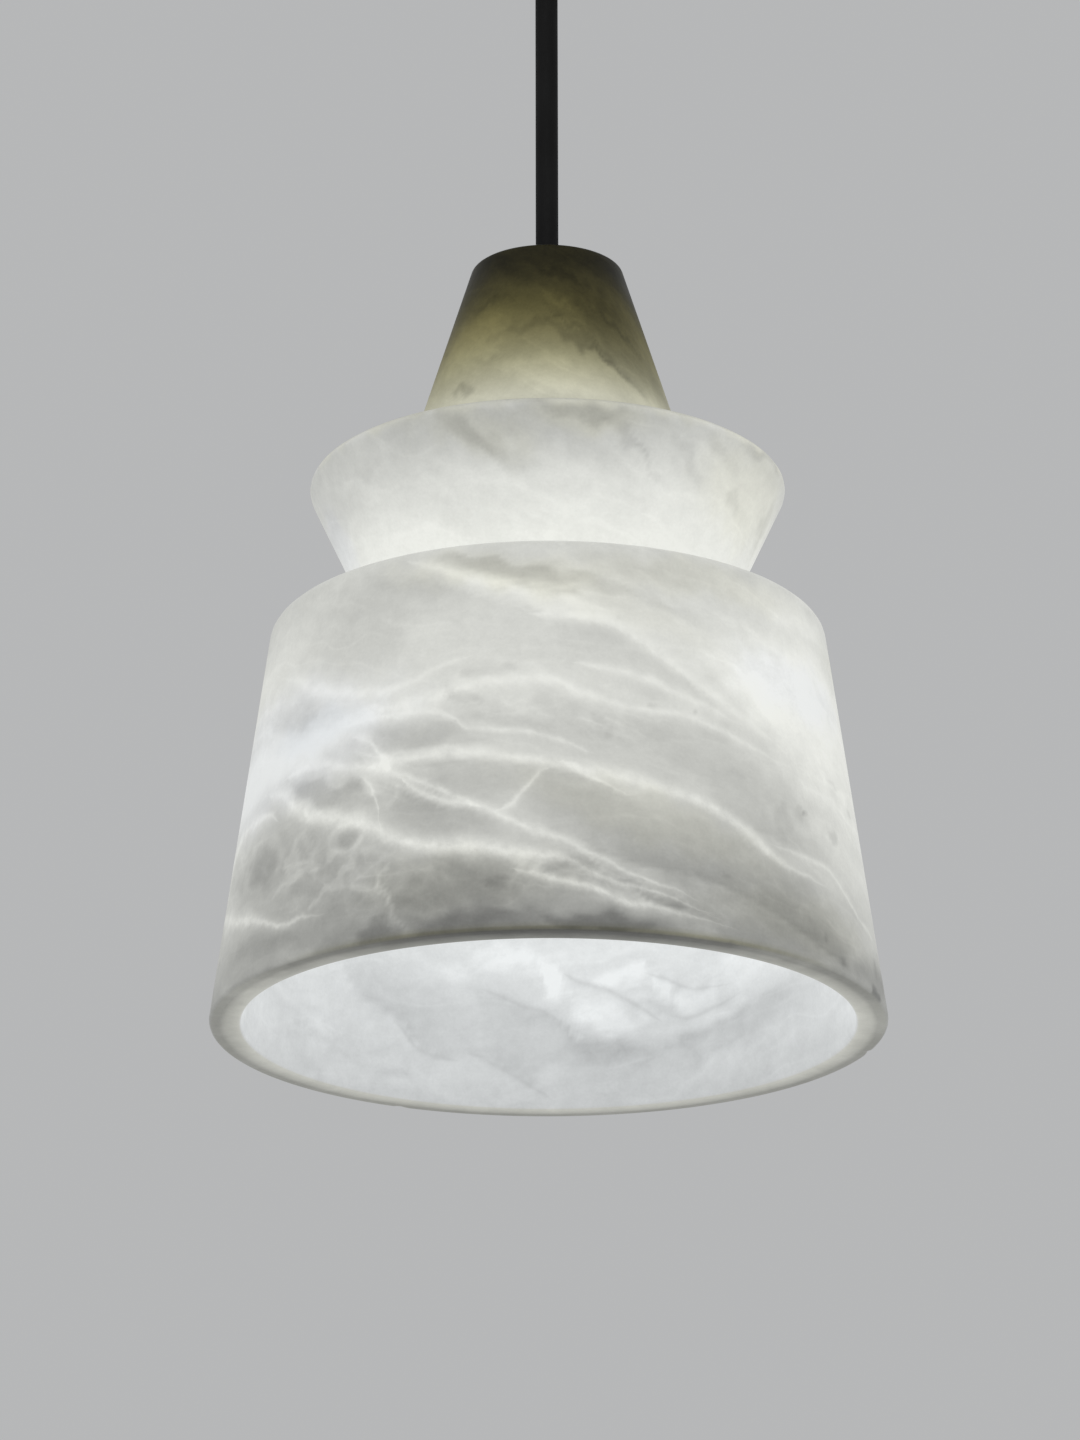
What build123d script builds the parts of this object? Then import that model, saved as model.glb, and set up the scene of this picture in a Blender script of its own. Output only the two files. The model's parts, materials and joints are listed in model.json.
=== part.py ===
from build123d import *
import os
from math import acos, asin, cos, degrees, hypot, radians, sin, tan

os.makedirs("parts", exist_ok=True)

# A pendant light: a cap, a collar and an open bell shade, turned from alabaster, on a round cord.
# Millimetres, +Z up. The origin is the middle of the ceiling face, and the lamp hangs below it.

# ---------------------------------------------------------------------------
# Driving dimensions
# ---------------------------------------------------------------------------

# Bell shade
shade_rim_d = 200.0
shade_top_d = 166.6
shade_height = 122.8
shade_wall = 9.5
shade_top_t = 12.0
shade_hole_d = 72.0
shade_shoulder_r = 4.0
shade_rim_outer_r = 1.2
shade_rim_inner_r = 0.8
shade_hollow_r = 10.0

# Collar, wide end up
collar_top_d = 147.3
collar_base_d = 102.4
collar_height = 48.0
collar_wall = 9.9
collar_top_t = 12.0
collar_edge_r = 2.5
collar_foot_r = 1.0

# Cap, narrow end up
cap_top_d = 46.4
cap_base_d = 89.7
cap_height = 69.8
cap_edge_r = 1.5
cap_recess_d = 30.0
cap_recess_depth = 13.0

# Thin silicone gaskets between stone and stone, and stone and steel
gasket_t = 0.8
gasket_margin = 4.0
gasket_set_back = 0.5

# Cord, and how far the lamp hangs below the canopy's gland
cord_d = 7.0
cord_drop = 122.0
lead_d = 2.1
lead_circle_r = 1.8
lead_bend_r = 2.5
lead_straight = 4.0
jacket_past_gland = 2.0
swing_limit = 20.0

# Canopy and ceiling bracket
canopy_d = 100.0
canopy_height = 32.0
canopy_wall = 1.5
canopy_edge_r = 4.0
canopy_screw_z = -6.0
bracket_t = 1.5
bracket_width = 20.0
bracket_tab = 11.0
bracket_clear = 2.0
slot_spacing = 66.0
slot_length = 12.0
slot_width = 4.5
bracket_screw_past = 1.0

# Canopy gland
gland_length = 18.0
gland_flare = 6.0
gland_lip = 1.9
gland_edge_r = 1.1
gland_throat_edge_r = 0.6
gland_pocket_rise = 1.0
gland_stub_past = 1.0
gland_screw_drop = 4.0

# Terminal block and earth screw under the bracket
block_x = -16.0
block_length = 16.0
block_width = 20.0
block_height = 12.0
block_corner_r = 1.5
pole_spacing = 11.0
clamp_spacing = 7.0
barrel_r = 2.5
barrel_bore_r = 1.5
barrel_set_back = 1.0
barrel_z = -8.5
earth_screw_x = 16.0
lug_r = 4.0
lug_t = 0.8
lug_tail = 4.0

# Screws
m3_r = 1.5
m4_r = 2.0
m5_r = 2.5
screw_head_r = 3.5
screw_head_t = 2.4
socket_r = 1.2
socket_depth = 1.2

# Threaded tube, its nuts and washers (M10 fine thread)
tube_r = 5.0
tube_bore_r = 4.0
tube_nut_af = 14.0
tube_nut_t = 3.5
tube_thread = 8.0

# Cord grip on the cap
grip_r = 8.0
grip_above = 5.0
grip_seat = 0.7
grip_chamfer = 1.0
cap_pad_t = 1.0
cap_washer_r = 14.0
cap_washer_t = 1.5

# Carrier plate, hanger rods and support ring
carrier_t = 3.0
carrier_margin = 2.5
carrier_washer_r = 10.0
carrier_washer_t = 1.0
ring_t = 3.0
ring_seat = 8.0
ring_lip = 1.0
ring_chamfer = 0.8
rod_count = 3
rod_nut_af = 8.0
rod_locknut_t = 3.2
rod_nut_t = 4.0
rod_dome_t = 4.0
rod_washer_r = 5.0
rod_washer_t = 1.0
rod_thread = 5.7

# Lampholder for a 27 mm screw cap
holder_r = 20.0
holder_neck_r = 9.0
holder_neck_length = 4.0
holder_neck_edge_r = 1.0
holder_neck_wall = 1.0
holder_shoulder_drop = 14.0
holder_shoulder_r = 3.0
holder_rim_r = 1.2
holder_boss_past = 1.0
holder_length = 56.0
holder_wall = 1.6
holder_cap_length = 21.0
holder_insert_gap = 2.0
holder_insert_t = 10.0
holder_lip_t = 1.4
holder_lip_r = 15.6
holder_shell_wall = 0.6
holder_shell_lift = 0.5
holder_contact_r = 4.0
holder_contact_t = 1.5
terminal_x = 10.0
terminal_r = 2.0
terminal_t = 2.5
terminal_lead_rise = 5.0
tube_lead_drop = 3.0
lamp_earth_tail = 2.0

# Bulb: 45 mm globe, 78 mm long
bulb_length = 78.0
bulb_globe_r = 22.5
bulb_globe_wall = 1.5
bulb_globe_rim_r = 19.9
bulb_contact_r = 4.8
bulb_contact_t = 1.5
bulb_insulator_t = 3.5
bulb_insulator_lip = 0.5
bulb_cap_r = 13.1
bulb_cap_length = 21.0
bulb_cap_wall = 0.6
bulb_neck_r = 14.2
bulb_neck_flare = 0.6
bulb_neck_length = 2.0
bulb_housing_lip = 0.5
bulb_housing_wall = 1.6
thread_pitch = 3.629
thread_depth = 0.9
thread_turns = 5
# One ridge of the thread: how far down its pitch each point lies, and if it is on the crest.
thread_ridge = ((0.15, False), (0.40, True), (0.60, True), (0.85, False))
led_board_r = 17.5
led_board_t = 1.6
driver_width = 16.0
driver_height = 12.0
driver_t = 1.2

# Clearances
thread_clear = 0.05
hole_clear = 0.25
cord_clear = 0.1
stone_clear = 0.3
bulb_clear = 0.4
swing_clear = 1.0
pocket_clear = 0.5
touch_gap = 0.3

# ---------------------------------------------------------------------------
# Heights, from the ceiling down
# ---------------------------------------------------------------------------

cord_r = cord_d / 2
lead_r = lead_d / 2

canopy_base = -canopy_height
canopy_floor = canopy_base + canopy_wall
gland_mouth = canopy_base - gland_length
swing_z = gland_mouth + gland_flare
cap_top = gland_mouth - cord_drop
cap_base = cap_top - cap_height
collar_top = cap_base - gasket_t
collar_base = collar_top - collar_height
shade_top = collar_base - gasket_t
shade_rim = shade_top - shade_height

# Hardware at the cap
recess_floor = cap_top - cap_recess_depth
cap_pad_top = recess_floor + cap_pad_t
cap_washer_top = cap_pad_top + cap_washer_t
cap_nut_top = cap_washer_top + tube_nut_t
grip_top = cap_top + grip_above
grip_ledge = cap_top - grip_seat
tube_top = grip_ledge - touch_gap

# Hardware under the collar's top
carrier_top = collar_top - collar_top_t - gasket_t
carrier_base = carrier_top - carrier_t
carrier_nut_top = carrier_base - carrier_washer_t
holder_top = carrier_nut_top - tube_nut_t - touch_gap
tube_base = holder_top - tube_thread

# Hardware under the shade's top
shade_ceiling = shade_top - shade_top_t
ring_top = shade_ceiling - gasket_t
ring_base = ring_top - ring_t
rod_nut_top = ring_base - rod_washer_t
rod_base = rod_nut_top - rod_thread

# Lampholder and bulb
holder_joint = holder_top - holder_cap_length
insert_top = holder_joint - holder_insert_gap
insert_seat = insert_top - holder_insert_t
holder_base = holder_top - holder_length
bulb_tip = insert_seat - holder_contact_t - cord_clear
bulb_insulator_top = bulb_tip - bulb_contact_t
bulb_cap_top = bulb_insulator_top - bulb_insulator_t
bulb_cap_base = bulb_cap_top - bulb_cap_length
bulb_base = bulb_tip - bulb_length
globe_z = bulb_base + bulb_globe_r
globe_rim = globe_z + (bulb_globe_r**2 - bulb_globe_rim_r**2) ** 0.5

# ---------------------------------------------------------------------------
# Radii that follow from the sizes above
# ---------------------------------------------------------------------------

shade_rim_r = shade_rim_d / 2
shade_top_r = shade_top_d / 2
shade_hole_r = shade_hole_d / 2
shade_slope = (shade_rim_r - shade_top_r) / shade_height
collar_top_r = collar_top_d / 2
collar_base_r = collar_base_d / 2
collar_slope = (collar_top_r - collar_base_r) / collar_height
cap_top_r = cap_top_d / 2
cap_base_r = cap_base_d / 2
tube_way_r = tube_r + stone_clear

rod_circle_r = shade_hole_r - m5_r - 2 * hole_clear
carrier_r = rod_circle_r + m5_r + carrier_margin
ring_inner_r = rod_circle_r - m5_r - ring_lip
ring_outer_r = shade_hole_r + ring_seat

bracket_length = canopy_d - 2 * canopy_wall - 2 * bracket_clear

# The lamp tilts about swing_z by up to swing_limit about X and about Y at once.
tilt_max = acos(cos(radians(swing_limit)) ** 2)
bend_ball_r = cord_r - cord_clear
bend_gap = bend_ball_r + touch_gap
gland_pocket_r = hypot(cord_r, bend_gap) + pocket_clear
gland_mouth_r = gland_flare * tan(tilt_max) + cord_r / cos(tilt_max) + swing_clear
gland_r = gland_mouth_r + gland_lip
gland_bore_r = cord_r + cord_clear
gland_stub_top = canopy_floor + rod_washer_t + tube_nut_t + gland_stub_past
jacket_top = gland_stub_top + jacket_past_gland

rod_places = [
    (
        rod_circle_r * cos(radians(90 + 360 * i / rod_count)),
        rod_circle_r * sin(radians(90 + 360 * i / rod_count)),
    )
    for i in range(rod_count)
]

# ---------------------------------------------------------------------------
# Shared makers
# ---------------------------------------------------------------------------


def save(piece, name):
    """Label a finished piece and write it to its own file."""
    piece.part.label = name
    export_step(piece.part, f"parts/{name}.step")


def turned(outline, rounded=()):
    """Solid of revolution about Z from a closed outline of (radius, height) points.

    rounded lists (point of the outline, radius) for the corners that are rounded.
    """
    with BuildPart() as piece:
        with BuildSketch(Plane.XZ):
            with BuildLine():
                Polyline(outline, close=True)
            make_face()
            for point, radius in rounded:
                fillet(vertices().sort_by_distance(point)[0], radius)
        revolve(axis=Axis.Z)
    return piece


def discs(outer_r, inner_r, top, thick, places=((0, 0),)):
    """Flat rings, or plain discs where inner_r is 0, with their upper faces at the height top."""
    with BuildPart() as piece:
        with BuildSketch(Plane.XY.offset(top)):
            with Locations(*places):
                Circle(outer_r)
            if inner_r > 0:
                with Locations(*places):
                    Circle(inner_r, mode=Mode.SUBTRACT)
        extrude(amount=-thick)
    return piece


def hex_nuts(across_flats, bore_r, top, thick, places=((0, 0),)):
    """Hexagon nuts with their upper faces at the height top."""
    with BuildPart() as piece:
        with BuildSketch(Plane.XY.offset(top)):
            with Locations(*places):
                RegularPolygon(across_flats / 2, 6, major_radius=False)
            with Locations(*places):
                Circle(bore_r, mode=Mode.SUBTRACT)
        extrude(amount=-thick)
    return piece


def grub_screw(radius, inner_x, outer_x, height):
    """Headless screw along X with a hexagon socket in its outer end."""
    with BuildPart() as piece:
        with BuildSketch(Plane.YZ.offset(inner_x)):
            with Locations((0, height)):
                Circle(radius)
        extrude(amount=outer_x - inner_x)
        with BuildSketch(Plane.YZ.offset(outer_x)):
            with Locations((0, height)):
                RegularPolygon(radius / 2, 6, major_radius=False)
        extrude(amount=-socket_depth, mode=Mode.SUBTRACT)
    return piece


def lead(*points):
    """Insulated wire along straight runs with rounded bends."""
    with BuildPart() as piece:
        with BuildLine() as path:
            FilletPolyline(*points, radius=lead_bend_r)
        with BuildSketch(Plane(origin=path.line @ 0, z_dir=path.line % 0)):
            Circle(lead_r)
        sweep(path=path.wires()[0])
    return piece


def ridges(valley_r, crest_r, top):
    """Outline points (radius, height) of a thread's ridges, from the height top down."""
    points = []
    for turn in range(thread_turns):
        for share, on_crest in thread_ridge:
            points.append((crest_r if on_crest else valley_r, top - (turn + share) * thread_pitch))
    return points


# ---------------------------------------------------------------------------
# Stone
# ---------------------------------------------------------------------------

# The bell shade: a straight taper outside and inside, and a flat top with a round hole.
shade_hollow_top_r = shade_rim_r - shade_wall - shade_slope * (shade_ceiling - shade_rim)
shade_outline = [
    (shade_rim_r, shade_rim),
    (shade_top_r, shade_top),
    (shade_hole_r, shade_top),
    (shade_hole_r, shade_ceiling),
    (shade_hollow_top_r, shade_ceiling),
    (shade_rim_r - shade_wall, shade_rim),
]
shade_stone = turned(
    shade_outline,
    [
        (shade_outline[0], shade_rim_outer_r),
        (shade_outline[1], shade_shoulder_r),
        (shade_outline[4], shade_hollow_r),
        (shade_outline[5], shade_rim_inner_r),
    ],
)
save(shade_stone, "shade_stone")

# The collar: a hollow cone, wide end up, closed at the top but for the tube's way.
collar_ceiling = collar_top - collar_top_t
collar_hollow_top_r = collar_base_r - collar_wall + collar_slope * (collar_ceiling - collar_base)
collar_outline = [
    (collar_base_r, collar_base),
    (collar_top_r, collar_top),
    (tube_way_r, collar_top),
    (tube_way_r, collar_ceiling),
    (collar_hollow_top_r, collar_ceiling),
    (collar_base_r - collar_wall, collar_base),
]
collar_stone = turned(
    collar_outline,
    [
        (collar_outline[0], collar_foot_r),
        (collar_outline[1], collar_edge_r),
        (collar_outline[4], collar_wall / 2),
    ],
)
save(collar_stone, "collar_stone")

# The cap: a solid cone with a way for the tube and a recess on top for the nut and the grip.
cap_outline = [
    (cap_base_r, cap_base),
    (cap_top_r, cap_top),
    (cap_recess_d / 2, cap_top),
    (cap_recess_d / 2, recess_floor),
    (tube_way_r, recess_floor),
    (tube_way_r, cap_base),
]
cap_stone = turned(
    cap_outline,
    [
        (cap_outline[0], cap_edge_r),
        (cap_outline[1], cap_edge_r),
        (cap_outline[2], cap_edge_r / 2),
    ],
)
save(cap_stone, "cap_stone")

# Gaskets, set back from the edge so that they don't show.
cap_gasket = discs(cap_base_r - gasket_margin, tube_way_r, cap_base, gasket_t)
save(cap_gasket, "cap_gasket")

collar_gasket_r = collar_base_r - gasket_margin / 2
collar_gasket_bore_r = collar_base_r - collar_wall + gasket_set_back
collar_gasket = discs(collar_gasket_r, collar_gasket_bore_r, collar_base, gasket_t)
save(collar_gasket, "collar_gasket")

# ---------------------------------------------------------------------------
# Ceiling: bracket, canopy, screws
# ---------------------------------------------------------------------------

bracket_end = bracket_length / 2

with BuildPart() as ceiling_bracket:
    # Flat bar against the ceiling, with a slot near each end for a ceiling screw.
    with BuildSketch(Plane.XY):
        Rectangle(bracket_length, bracket_width)
        with GridLocations(slot_spacing, 0, 2, 1):
            SlotOverall(slot_length, slot_width, mode=Mode.SUBTRACT)
        with Locations((block_x, 0)):
            Circle(m3_r + thread_clear, mode=Mode.SUBTRACT)
        with Locations((earth_screw_x, 0)):
            Circle(m4_r + thread_clear, mode=Mode.SUBTRACT)
    extrude(amount=-bracket_t)
    # Two tabs bent down, tapped for the canopy's side screws.
    with BuildSketch(Plane.XY.offset(-bracket_t)):
        with GridLocations(bracket_length - bracket_t, 0, 2, 1):
            Rectangle(bracket_t, bracket_width)
    extrude(amount=bracket_t - bracket_tab)
    with BuildSketch(Plane.YZ):
        with Locations((0, canopy_screw_z)):
            Circle(m4_r + thread_clear)
    extrude(amount=bracket_end, both=True, mode=Mode.SUBTRACT)
    bends = edges().filter_by(Axis.Y).group_by(Axis.Z)[-1]
    fillet(bends, bracket_t)
save(ceiling_bracket, "ceiling_bracket")

canopy_r = canopy_d / 2
canopy_hole_r = tube_r + cord_clear
canopy_outline = [
    (canopy_r, 0),
    (canopy_r, canopy_base),
    (canopy_hole_r, canopy_base),
    (canopy_hole_r, canopy_floor),
    (canopy_r - canopy_wall, canopy_floor),
    (canopy_r - canopy_wall, 0),
]

with BuildPart() as canopy:
    # Spun cup, open towards the ceiling.
    with BuildSketch(Plane.XZ):
        with BuildLine():
            Polyline(canopy_outline, close=True)
        make_face()
        fillet(vertices().sort_by_distance(canopy_outline[1])[0], canopy_edge_r)
        fillet(vertices().sort_by_distance(canopy_outline[4])[0], canopy_edge_r - canopy_wall)
    revolve(axis=Axis.Z)
    # Holes for the two side screws.
    with BuildSketch(Plane.YZ):
        with Locations((0, canopy_screw_z)):
            Circle(m4_r + hole_clear)
    extrude(amount=canopy_r, both=True, mode=Mode.SUBTRACT)
save(canopy, "canopy")

canopy_screw_face = Plane(origin=(canopy_r, 0, canopy_screw_z), z_dir=(1, 0, 0))
canopy_screw_tip = canopy_r - bracket_end + bracket_t + bracket_screw_past

with BuildPart() as canopy_screws:
    # Round head outside the canopy, shank through the wall into the bracket's tab.
    with BuildSketch(canopy_screw_face):
        Circle(screw_head_r)
    extrude(amount=screw_head_t)
    fillet(edges().sort_by(Axis.X)[-1], screw_head_t / 2)
    with BuildSketch(canopy_screw_face):
        Circle(m4_r)
    extrude(amount=-canopy_screw_tip)
    with BuildSketch(canopy_screw_face.offset(screw_head_t)):
        RegularPolygon(socket_r, 6, major_radius=False)
    extrude(amount=-socket_depth, mode=Mode.SUBTRACT)
    mirror(about=Plane.YZ)
save(canopy_screws, "canopy_screws")

# ---------------------------------------------------------------------------
# Ceiling: canopy gland with a flared mouth, so that the cord can lean to every side
# ---------------------------------------------------------------------------

gland_screw_z = canopy_base - gland_screw_drop
gland_outline = [
    (tube_r, gland_stub_top),
    (tube_r, canopy_base),
    (gland_r, canopy_base),
    (gland_r, gland_mouth),
    (gland_mouth_r, gland_mouth),
    (gland_pocket_r, swing_z + gland_pocket_rise),
    (gland_bore_r, swing_z + bend_gap + touch_gap),
    (gland_bore_r, gland_stub_top),
]

with BuildPart() as canopy_gland:
    with BuildSketch(Plane.XZ):
        with BuildLine():
            Polyline(gland_outline, close=True)
        make_face()
        fillet(vertices().sort_by_distance(gland_outline[3])[0], gland_edge_r)
        fillet(vertices().sort_by_distance(gland_outline[4])[0], gland_throat_edge_r)
        fillet(vertices().sort_by_distance(gland_outline[2])[0], gland_throat_edge_r)
    revolve(axis=Axis.Z)
    with BuildSketch(Plane.YZ):
        with Locations((0, gland_screw_z)):
            Circle(m4_r + thread_clear)
    extrude(amount=gland_r, mode=Mode.SUBTRACT)
save(canopy_gland, "canopy_gland")

gland_washer = discs(gland_r, canopy_hole_r, canopy_floor + rod_washer_t, rod_washer_t)
save(gland_washer, "canopy_gland_washer")

gland_nut_top = canopy_floor + rod_washer_t + tube_nut_t
gland_nut = hex_nuts(tube_nut_af, tube_r + thread_clear, gland_nut_top, tube_nut_t)
save(gland_nut, "canopy_gland_nut")

gland_screw = grub_screw(m4_r, cord_r + thread_clear, gland_r - touch_gap, gland_screw_z)
save(gland_screw, "canopy_gland_screw")

# ---------------------------------------------------------------------------
# Ceiling: terminals and leads
# ---------------------------------------------------------------------------

block_base = -bracket_t - block_height
block_screw_z = block_base + screw_head_t
clamp_tip = barrel_z - lead_r - thread_clear
clamp_places = [
    (block_x + i * clamp_spacing / 2, j * pole_spacing / 2) for i in (-1, 1) for j in (-1, 1)
]

with BuildPart() as terminal_block:
    with BuildSketch(Plane.XY.offset(-bracket_t)):
        with Locations((block_x, 0)):
            RectangleRounded(block_length, block_width, block_corner_r)
    extrude(amount=-block_height)
    # Ways for the two brass barrels, along X.
    with BuildSketch(Plane.YZ.offset(block_x)):
        with Locations((-pole_spacing / 2, barrel_z), (pole_spacing / 2, barrel_z)):
            Circle(barrel_r + thread_clear)
    extrude(amount=block_length, both=True, mode=Mode.SUBTRACT)
    # Ways for the clamp screws and for the fixing screw, from below.
    with BuildSketch(Plane.XY.offset(block_base)):
        with Locations(*clamp_places):
            Circle(m3_r + hole_clear)
    extrude(amount=barrel_z - block_base, mode=Mode.SUBTRACT)
    with BuildSketch(Plane.XY.offset(block_base)):
        with Locations((block_x, 0)):
            Circle(m3_r + thread_clear)
    extrude(amount=block_height, mode=Mode.SUBTRACT)
    with BuildSketch(Plane.XY.offset(block_base)):
        with Locations((block_x, 0)):
            Circle(2 * m3_r)
    extrude(amount=screw_head_t, mode=Mode.SUBTRACT)
save(terminal_block, "terminal_block")

with BuildPart() as terminal_barrels:
    with BuildSketch(Plane.YZ.offset(block_x)):
        with Locations((-pole_spacing / 2, barrel_z), (pole_spacing / 2, barrel_z)):
            Circle(barrel_r)
            Circle(barrel_bore_r, mode=Mode.SUBTRACT)
    extrude(amount=block_length / 2 - barrel_set_back, both=True)
    with BuildSketch(Plane.XY.offset(barrel_z)):
        with Locations(*clamp_places):
            Circle(m3_r + thread_clear)
    extrude(amount=-barrel_r, mode=Mode.SUBTRACT)
save(terminal_barrels, "terminal_barrels")

with BuildPart() as terminal_screws:
    with BuildSketch(Plane.XY.offset(clamp_tip)):
        with Locations(*clamp_places):
            Circle(m3_r)
    extrude(amount=block_base + touch_gap - clamp_tip)
    with BuildSketch(Plane.XY.offset(block_base + touch_gap)):
        with Locations(*clamp_places):
            Rectangle(2 * m3_r, lug_t)
    extrude(amount=lug_t, mode=Mode.SUBTRACT)
save(terminal_screws, "terminal_screws")

with BuildPart() as block_screw:
    with BuildSketch(Plane.XY.offset(block_screw_z)):
        with Locations((block_x, 0)):
            Circle(2 * m3_r - cord_clear)
    extrude(amount=-screw_head_t + touch_gap)
    with BuildSketch(Plane.XY.offset(block_screw_z)):
        with Locations((block_x, 0)):
            Circle(m3_r)
    extrude(amount=-block_screw_z - touch_gap)
    with BuildSketch(Plane.XY.offset(block_base + touch_gap)):
        with Locations((block_x, 0)):
            RegularPolygon(socket_r, 6, major_radius=False)
    extrude(amount=socket_depth, mode=Mode.SUBTRACT)
save(block_screw, "terminal_block_screw")

lug_top = -bracket_t
lug_base = lug_top - lug_t

with BuildPart() as earth_lug:
    with BuildSketch(Plane.XY.offset(lug_top)):
        with Locations((earth_screw_x, 0)):
            Circle(lug_r)
        with Locations((earth_screw_x - lug_r, 0)):
            Rectangle(2 * lug_tail, lug_r)
        with Locations((earth_screw_x, 0)):
            Circle(m4_r + thread_clear, mode=Mode.SUBTRACT)
    extrude(amount=-lug_t)
save(earth_lug, "bracket_earth_lug")

with BuildPart() as earth_screw:
    with BuildSketch(Plane.XY.offset(lug_base)):
        with Locations((earth_screw_x, 0)):
            Circle(screw_head_r)
    extrude(amount=-screw_head_t)
    with BuildSketch(Plane.XY.offset(lug_base)):
        with Locations((earth_screw_x, 0)):
            Circle(m4_r)
    extrude(amount=-lug_base - touch_gap)
    with BuildSketch(Plane.XY.offset(lug_base - screw_head_t)):
        with Locations((earth_screw_x, 0)):
            RegularPolygon(socket_r, 6, major_radius=False)
    extrude(amount=socket_depth, mode=Mode.SUBTRACT)
save(earth_screw, "bracket_earth_screw")

# Each lead leaves the cord's jacket at its own place on a small circle.
lead_offset_x = lead_circle_r * cos(radians(60))
lead_offset_y = lead_circle_r * sin(radians(60))
lead_entry_x = block_x + block_length / 2
for name, side in (("canopy_live_lead", 1), ("canopy_neutral_lead", -1)):
    way_y = side * pole_spacing / 2
    canopy_lead = lead(
        (-lead_offset_x, side * lead_offset_y, jacket_top),
        (-lead_offset_x, side * lead_offset_y, jacket_top + lead_straight),
        (lead_entry_x + lead_straight, way_y, barrel_z),
        (block_x + barrel_set_back, way_y, barrel_z),
    )
    save(canopy_lead, name)

earth_lead_z = lug_top - lead_r - cord_clear
earth_lead_end = earth_screw_x - lug_r - lug_tail
canopy_earth_lead = lead(
    (lead_circle_r, 0, jacket_top),
    (lead_circle_r, 0, earth_lead_z),
    (earth_lead_end, 0, earth_lead_z),
)
save(canopy_earth_lead, "canopy_earth_lead")

# ---------------------------------------------------------------------------
# Cord, in four stretches
# ---------------------------------------------------------------------------

# Held still in the gland and the canopy.
canopy_cord = discs(cord_r, 0, jacket_top, jacket_top - swing_z - bend_gap)
save(canopy_cord, "cord_in_canopy")

# The short stretch that bends, a ball at the pivot.
with BuildPart() as cord_bend:
    with Locations((0, 0, swing_z)):
        Sphere(bend_ball_r)
save(cord_bend, "cord_bend")

# The free cord, pulled straight by the lamp, and its end in the cap's grip.
free_cord_top = swing_z - bend_gap
free_cord = discs(cord_r, 0, free_cord_top, free_cord_top - grip_top)
save(free_cord, "cord")

grip_cord = discs(cord_r, 0, grip_top, grip_top - grip_ledge)
save(grip_cord, "cord_in_cap")

# ---------------------------------------------------------------------------
# Cap hardware
# ---------------------------------------------------------------------------

grip_screw_z = cap_top + grip_above / 2
grip_outline = [
    (gland_bore_r, grip_top),
    (grip_r, grip_top),
    (grip_r, cap_nut_top),
    (tube_r + thread_clear, cap_nut_top),
    (tube_r + thread_clear, grip_ledge),
    (gland_bore_r, grip_ledge),
]

with BuildPart() as cord_grip:
    # Turned sleeve: threaded on the tube below, clamped on the cord above.
    with BuildSketch(Plane.XZ):
        with BuildLine():
            Polyline(grip_outline, close=True)
        make_face()
        chamfer(vertices().sort_by_distance(grip_outline[1])[0], grip_chamfer)
    revolve(axis=Axis.Z)
    with BuildSketch(Plane.YZ):
        with Locations((0, grip_screw_z)):
            Circle(m3_r + thread_clear)
    extrude(amount=grip_r, mode=Mode.SUBTRACT)
save(cord_grip, "cap_cord_grip")

grip_screw = grub_screw(m3_r, cord_r + thread_clear, grip_r, grip_screw_z)
save(grip_screw, "cap_grip_screw")

cap_nut = hex_nuts(tube_nut_af, tube_r + thread_clear, cap_nut_top, tube_nut_t)
save(cap_nut, "cap_nut")

cap_washer = discs(cap_washer_r, tube_r + hole_clear, cap_washer_top, cap_washer_t)
save(cap_washer, "cap_washer")

cap_pad = discs(cap_washer_r, tube_r + hole_clear, cap_pad_top, cap_pad_t)
save(cap_pad, "cap_pad")

threaded_tube = discs(tube_r, tube_bore_r, tube_top, tube_top - tube_base)
save(threaded_tube, "threaded_tube")

# ---------------------------------------------------------------------------
# Carrier inside the collar, hanger rods and support ring
# ---------------------------------------------------------------------------

carrier_gasket = discs(carrier_r - gasket_margin, tube_way_r, collar_ceiling, gasket_t)
save(carrier_gasket, "carrier_gasket")

with BuildPart() as carrier_plate:
    with BuildSketch(Plane.XY.offset(carrier_top)):
        Circle(carrier_r)
        Circle(tube_r + cord_clear, mode=Mode.SUBTRACT)
        with Locations(*rod_places):
            Circle(m5_r + thread_clear, mode=Mode.SUBTRACT)
    extrude(amount=-carrier_t)
save(carrier_plate, "carrier_plate")

carrier_washer = discs(carrier_washer_r, tube_r + hole_clear, carrier_base, carrier_washer_t)
save(carrier_washer, "carrier_washer")

carrier_nut = hex_nuts(tube_nut_af, tube_r + thread_clear, carrier_nut_top, tube_nut_t)
save(carrier_nut, "carrier_nut")

hanger_rods = discs(m5_r, 0, carrier_top, carrier_top - rod_base, rod_places)
save(hanger_rods, "hanger_rods")

hanger_locknuts = hex_nuts(
    rod_nut_af, m5_r + thread_clear, carrier_base, rod_locknut_t, rod_places
)
save(hanger_locknuts, "hanger_locknuts")

ring_gasket_r = ring_outer_r - gasket_margin / 4
ring_gasket = discs(ring_gasket_r, shade_hole_r + gasket_set_back, shade_ceiling, gasket_t)
save(ring_gasket, "ring_gasket")

with BuildPart() as support_ring:
    with BuildSketch(Plane.XY.offset(ring_top)):
        Circle(ring_outer_r)
        Circle(ring_inner_r, mode=Mode.SUBTRACT)
        with Locations(*rod_places):
            Circle(m5_r + hole_clear, mode=Mode.SUBTRACT)
    extrude(amount=-ring_t)
    lower_edges = edges().filter_by(GeomType.CIRCLE).group_by(Axis.Z)[0]
    chamfer(lower_edges.sort_by(SortBy.RADIUS)[-1], ring_chamfer)
save(support_ring, "support_ring")

hanger_washers = discs(rod_washer_r, m5_r + hole_clear, ring_base, rod_washer_t, rod_places)
save(hanger_washers, "hanger_washers")

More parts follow.
